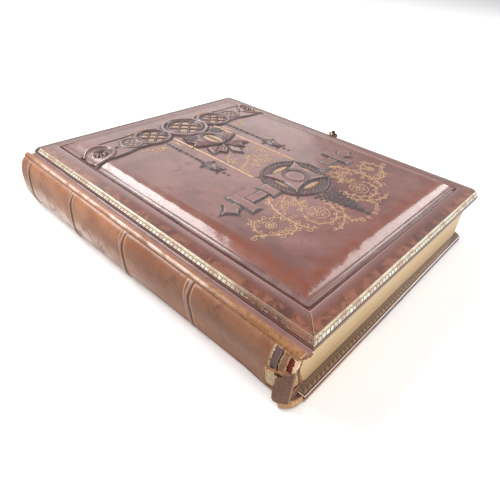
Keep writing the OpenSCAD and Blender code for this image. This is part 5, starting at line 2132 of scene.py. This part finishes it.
@dataclass
class Studio:
    """Pale floor, soft lights and the camera of the photograph."""

    LAMPS: ClassVar = (
        ("window_light", (-0.27, 0.68, 0.68), 1.7, (1.0, 0.62), 24, -20),
        ("far_wall_light", (0.5, 0.75, 0.45), 2.2, (2.0, 1.1), 6),
        ("fore_edge_light", (0.75, -0.37, 0.5), 1.8, (0.85, 0.7), 11),
        ("tail_light", (-0.05, -0.9, 0.4), 1.9, (1.2, 0.5), 10),
        ("overhead_light", (-0.2, -0.3, 1), 2.0, (1.4, 1.4), 6),
    )

    focal: float = 30.387
    place: tuple[float, float, float] = (-0.247243, -0.213074, 0.208515)
    yaw: float = 40.398
    pitch: float = 37.114
    roll: float = 4.602
    floor_size: float = 14.0
    floor_drop: float = 0.0003

    def camera(self) -> None:
        """Stand the camera where the photograph was taken from."""
        yaw, pitch, roll = (math.radians(a) for a in (self.yaw, self.pitch, self.roll))
        ahead = Vector((math.cos(yaw) * math.cos(pitch), math.sin(yaw) * math.cos(pitch), -math.sin(pitch)))
        level = Vector((math.sin(yaw), -math.cos(yaw), 0))
        upright = level.cross(ahead)
        right = level * math.cos(roll) + upright * math.sin(roll)
        up = upright * math.cos(roll) - level * math.sin(roll)
        data = bpy.data.cameras.new("photo_camera")
        data.lens, data.sensor_width, data.clip_start, data.clip_end = self.focal, 36, 0.01, 50
        camera = bpy.data.objects.new("photo_camera", data)
        bpy.context.scene.collection.objects.link(camera)
        turned = Matrix((right, up, -ahead)).transposed().to_4x4()
        camera.matrix_world = Matrix.Translation(self.place) @ turned
        bpy.context.scene.camera = camera

    def floor(self) -> None:
        """Lay a plain pale floor that shows white to the camera and keeps the shadow."""
        deselect()
        bpy.ops.mesh.primitive_plane_add(size=self.floor_size, location=(0, 0, -self.floor_drop))
        floor = settle(named("studio_floor"))
        shade = Shade("studio_floor_paint")
        seen = shade.node("LightPath").outputs["Is Camera Ray"]
        matt = shade.node("BsdfDiffuse", {"Color": (0.62, 0.62, 0.62, 1)})
        bright = shade.node("BsdfDiffuse", {"Color": (1.0, 1.0, 1.0, 1)})
        glow = shade.node("Emission", {"Color": (1, 1, 1, 1), "Strength": 0.12})
        lit = shade.node("AddShader", {0: bright.outputs[0], 1: glow.outputs[0]})
        whole = shade.node("MixShader", {0: seen, 1: matt.outputs[0], 2: lit.outputs[0]})
        shade.node("OutputMaterial", {"Surface": whole.outputs[0]})
        dress(floor, shade.material)
        floor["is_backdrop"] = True

    def lamp(
        self,
        name: str,
        towards: tuple[float, float, float],
        away: float,
        size: tuple[float, float],
        power: float,
        tilt: float = 0,
    ) -> None:
        """Hang a soft rectangular lamp.

        Args:
            name: Name of the lamp.
            towards: Direction from the object to the lamp.
            away: Distance in metres.
            size: Width and height in metres.
            power: Power in watts.
            tilt: Turn about its own direction, in degrees.
        """
        data = bpy.data.lights.new(name, "AREA")
        data.shape, data.size, data.size_y, data.energy = "RECTANGLE", size[0], size[1], power
        lamp = bpy.data.objects.new(name, data)
        bpy.context.scene.collection.objects.link(lamp)
        direction = Vector(towards).normalized()
        lamp.location = direction * away
        turned = direction.to_track_quat("Z", "Y") @ Quaternion((0, 0, 1), math.radians(tilt))
        lamp.rotation_euler = turned.to_euler()

    def build(self) -> None:
        """Set up camera, floor, lamps and white surroundings."""
        self.camera()
        self.floor()
        for row in self.LAMPS:
            self.lamp(*row)
        self.room()

    def room(self) -> None:
        """Surround the set with soft light that shows white to the camera."""
        world = bpy.data.worlds.new("white_room")
        world.use_nodes = True
        tree = world.node_tree
        tree.nodes.clear()
        path = tree.nodes.new("ShaderNodeLightPath")
        lit, seen = tree.nodes.new("ShaderNodeBackground"), tree.nodes.new("ShaderNodeBackground")
        lit.inputs[1].default_value, seen.inputs[1].default_value = 0.42, 1.0
        lit.inputs[0].default_value = seen.inputs[0].default_value = (1, 1, 1, 1)
        mix, out = tree.nodes.new("ShaderNodeMixShader"), tree.nodes.new("ShaderNodeOutputWorld")
        tree.links.new(path.outputs["Is Camera Ray"], mix.inputs[0])
        tree.links.new(lit.outputs[0], mix.inputs[1])
        tree.links.new(seen.outputs[0], mix.inputs[2])
        tree.links.new(mix.outputs[0], out.inputs[0])
        bpy.context.scene.world = world
        bpy.context.scene.view_settings.view_transform = "Standard"


def leathers() -> dict[str, Material]:
    """Make the leathers of panel, boards and spine."""
    kinds = (
        Leather(
            "panel_leather",
            base=tone(138, 94, 88),
            cloud=tone(114, 76, 71),
            dark=tone(84, 54, 49),
            warm=tone(136, 68, 46),
            worn=tone(226, 196, 190),
        ),
        RolledLeather(
            "cover_leather",
            base=tone(118, 68, 52),
            cloud=tone(92, 50, 40),
            dark=tone(64, 36, 30),
            warm=tone(140, 78, 50),
            worn=tone(206, 158, 128),
        ),
        TurnInLeather(
            "back_leather",
            base=tone(112, 72, 60),
            cloud=tone(92, 56, 46),
            dark=tone(62, 38, 32),
            warm=tone(140, 78, 50),
            worn=tone(206, 158, 128),
        ),
        Leather(
            "joint_leather",
            base=tone(172, 128, 118),
            cloud=tone(152, 110, 102),
            dark=tone(96, 66, 58),
            warm=tone(140, 84, 60),
            worn=tone(232, 198, 184),
            polish=0.2,
        ),
        BandedLeather(
            "spine_leather",
            base=tone(190, 132, 98),
            cloud=tone(162, 106, 76),
            dark=tone(100, 60, 44),
            warm=tone(186, 126, 88),
            worn=tone(240, 212, 198),
            polish=0.2,
        ),
    )
    return {leather.name: leather.build() for leather in kinds}


def plain(name: str, colour: Paint, roughness: float, metallic: float = 0.0) -> Material:
    """Make a finish of one colour, a little uneven."""
    shade = Shade(name)
    place = shade.place()
    cloud = shade.noise(place, 0.2, 5)
    darker = tuple(c * 0.6 for c in colour[:3]) + (1.0,)
    return shade.finish(
        base_color=shade.mix(shade.step(cloud, 0.4, 0.75), colour, darker),
        roughness=roughness,
        metallic=metallic,
        normal=shade.bump((shade.noise(place, 1.2, 3), 0.03)),
    )


def lining() -> Material:
    """Make cream lining paper, stained brown where the mesh's glue mark says so, which holds glue stain and
    painted shade.
    """
    shade = Shade("lining_paper")
    place = shade.place()
    cloud = shade.noise(place, 0.25, 5)
    speck = shade.noise(place, 1.1, 4, 0.65)
    cream = shade.ramp(cloud, (0.35, tone(236, 198, 154)), (0.62, tone(254, 228, 192)))
    stain = shade.ramp(speck, (0.35, tone(52, 34, 26)), (0.65, tone(112, 76, 48)))
    glue = shade.step(
        shade.math("ADD", shade.layer("glue"), shade.step(speck, 0.35, 0.65, -0.12, 0.12)), 0.25, 0.8
    )
    return shade.finish(
        base_color=shade.mix(glue, cream, stain), roughness=0.85, normal=shade.bump((speck, 0.06))
    )


def gilt_leaves() -> Material:
    """Make the dulled gilt edges of the leaves, with fine lines along them."""
    shade = Shade("card_leaves")
    place = shade.place()
    height = shade.axes(place)[2]
    streak = shade.noise(shade.place((0.012, 0.012, 5.5)), 1.0, 4, 0.6)
    fine = shade.noise(shade.place((0.03, 0.03, 16.0)), 1.0, 2, 0.5)
    patch = shade.noise(place, 0.03, 3)
    gold = shade.ramp(
        streak, (0.3, tone(222, 184, 134)), (0.5, tone(242, 212, 166)), (0.7, tone(252, 230, 192))
    )
    gold = shade.mix(shade.step(fine, 0.55, 0.7, 0.0, 0.3), gold, tone(196, 154, 106))
    # Darker towards the bottom of the leaves.
    gold = shade.mix(shade.step(height, 26, 4, 0.0, 0.6), gold, tone(196, 154, 104))
    gold = shade.mix(shade.step(patch, 0.5, 0.7, 0.0, 0.3), gold, tone(236, 216, 180))
    return shade.finish(
        base_color=gold, roughness=0.42, metallic=0.12, normal=shade.bump((streak, 0.05), (fine, 0.03))
    )


def gilding() -> Material:
    """Make worn gold with leather showing through it."""
    shade = Shade("worn_gilding")
    place = shade.place()
    speck = shade.noise(place, 0.9, 4, 0.65)
    cloud = shade.noise(place, 0.05, 3)
    gold = shade.ramp(
        speck, (0.3, tone(164, 124, 94)), (0.5, tone(202, 162, 122)), (0.72, tone(232, 198, 160))
    )
    lost = shade.times(shade.step(speck, 0.46, 0.34), shade.step(cloud, 0.3, 0.7, 0.5, 1.0))
    return shade.finish(
        base_color=shade.mix(lost, gold, tone(140, 104, 90)),
        roughness=0.42,
        metallic=shade.math("SUBTRACT", 0.15, shade.times(lost, 0.15)),
        normal=shade.bump((speck, 0.05)),
    )


def main() -> None:
    """Build the album's looks round its frame."""
    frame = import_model()
    finishes = leathers()
    form, ornament = CoverForm(), Ornament()
    RaisedPanel(form).build(finishes["panel_leather"])
    for patch in ornament.patches(form):
        patch.build(finishes["panel_leather"])
    Gilding(form).build(gilding())
    MouldedFrame(form).build(finishes["cover_leather"])
    BackBoard(form).build(finishes["back_leather"])
    spine_form = SpineForm()
    Spine(spine_form).build(finishes["spine_leather"])
    brass = plain("brass", tone(120, 98, 70), 0.35, 0.9)
    paper = lining()
    cards = gilt_leaves()
    cloth = plain("red_cloth", tone(116, 36, 26), 0.9)
    for upper in (True, False):
        Joint(form, upper).build(finishes["joint_leather"])
    for name in BRASS_NODES:
        dress(frame["nodes"][name], brass)
    for name in PAPER_NODES:
        dress(frame["nodes"][name], paper)
    block = LeafBlock(spine_form)
    block.build(cards)
    block.lining(paper)
    TornTail(spine_form, block).build(finishes["spine_leather"], paper, cloth)
    dress(frame["nodes"]["head_band"], cloth)
    Studio().build()
    for piece in sorted(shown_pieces(), key=lambda p: p.name):
        LOG.info("%s", piece.name)


if __name__ == "__main__":
    logging.basicConfig(level=logging.INFO)
    main()
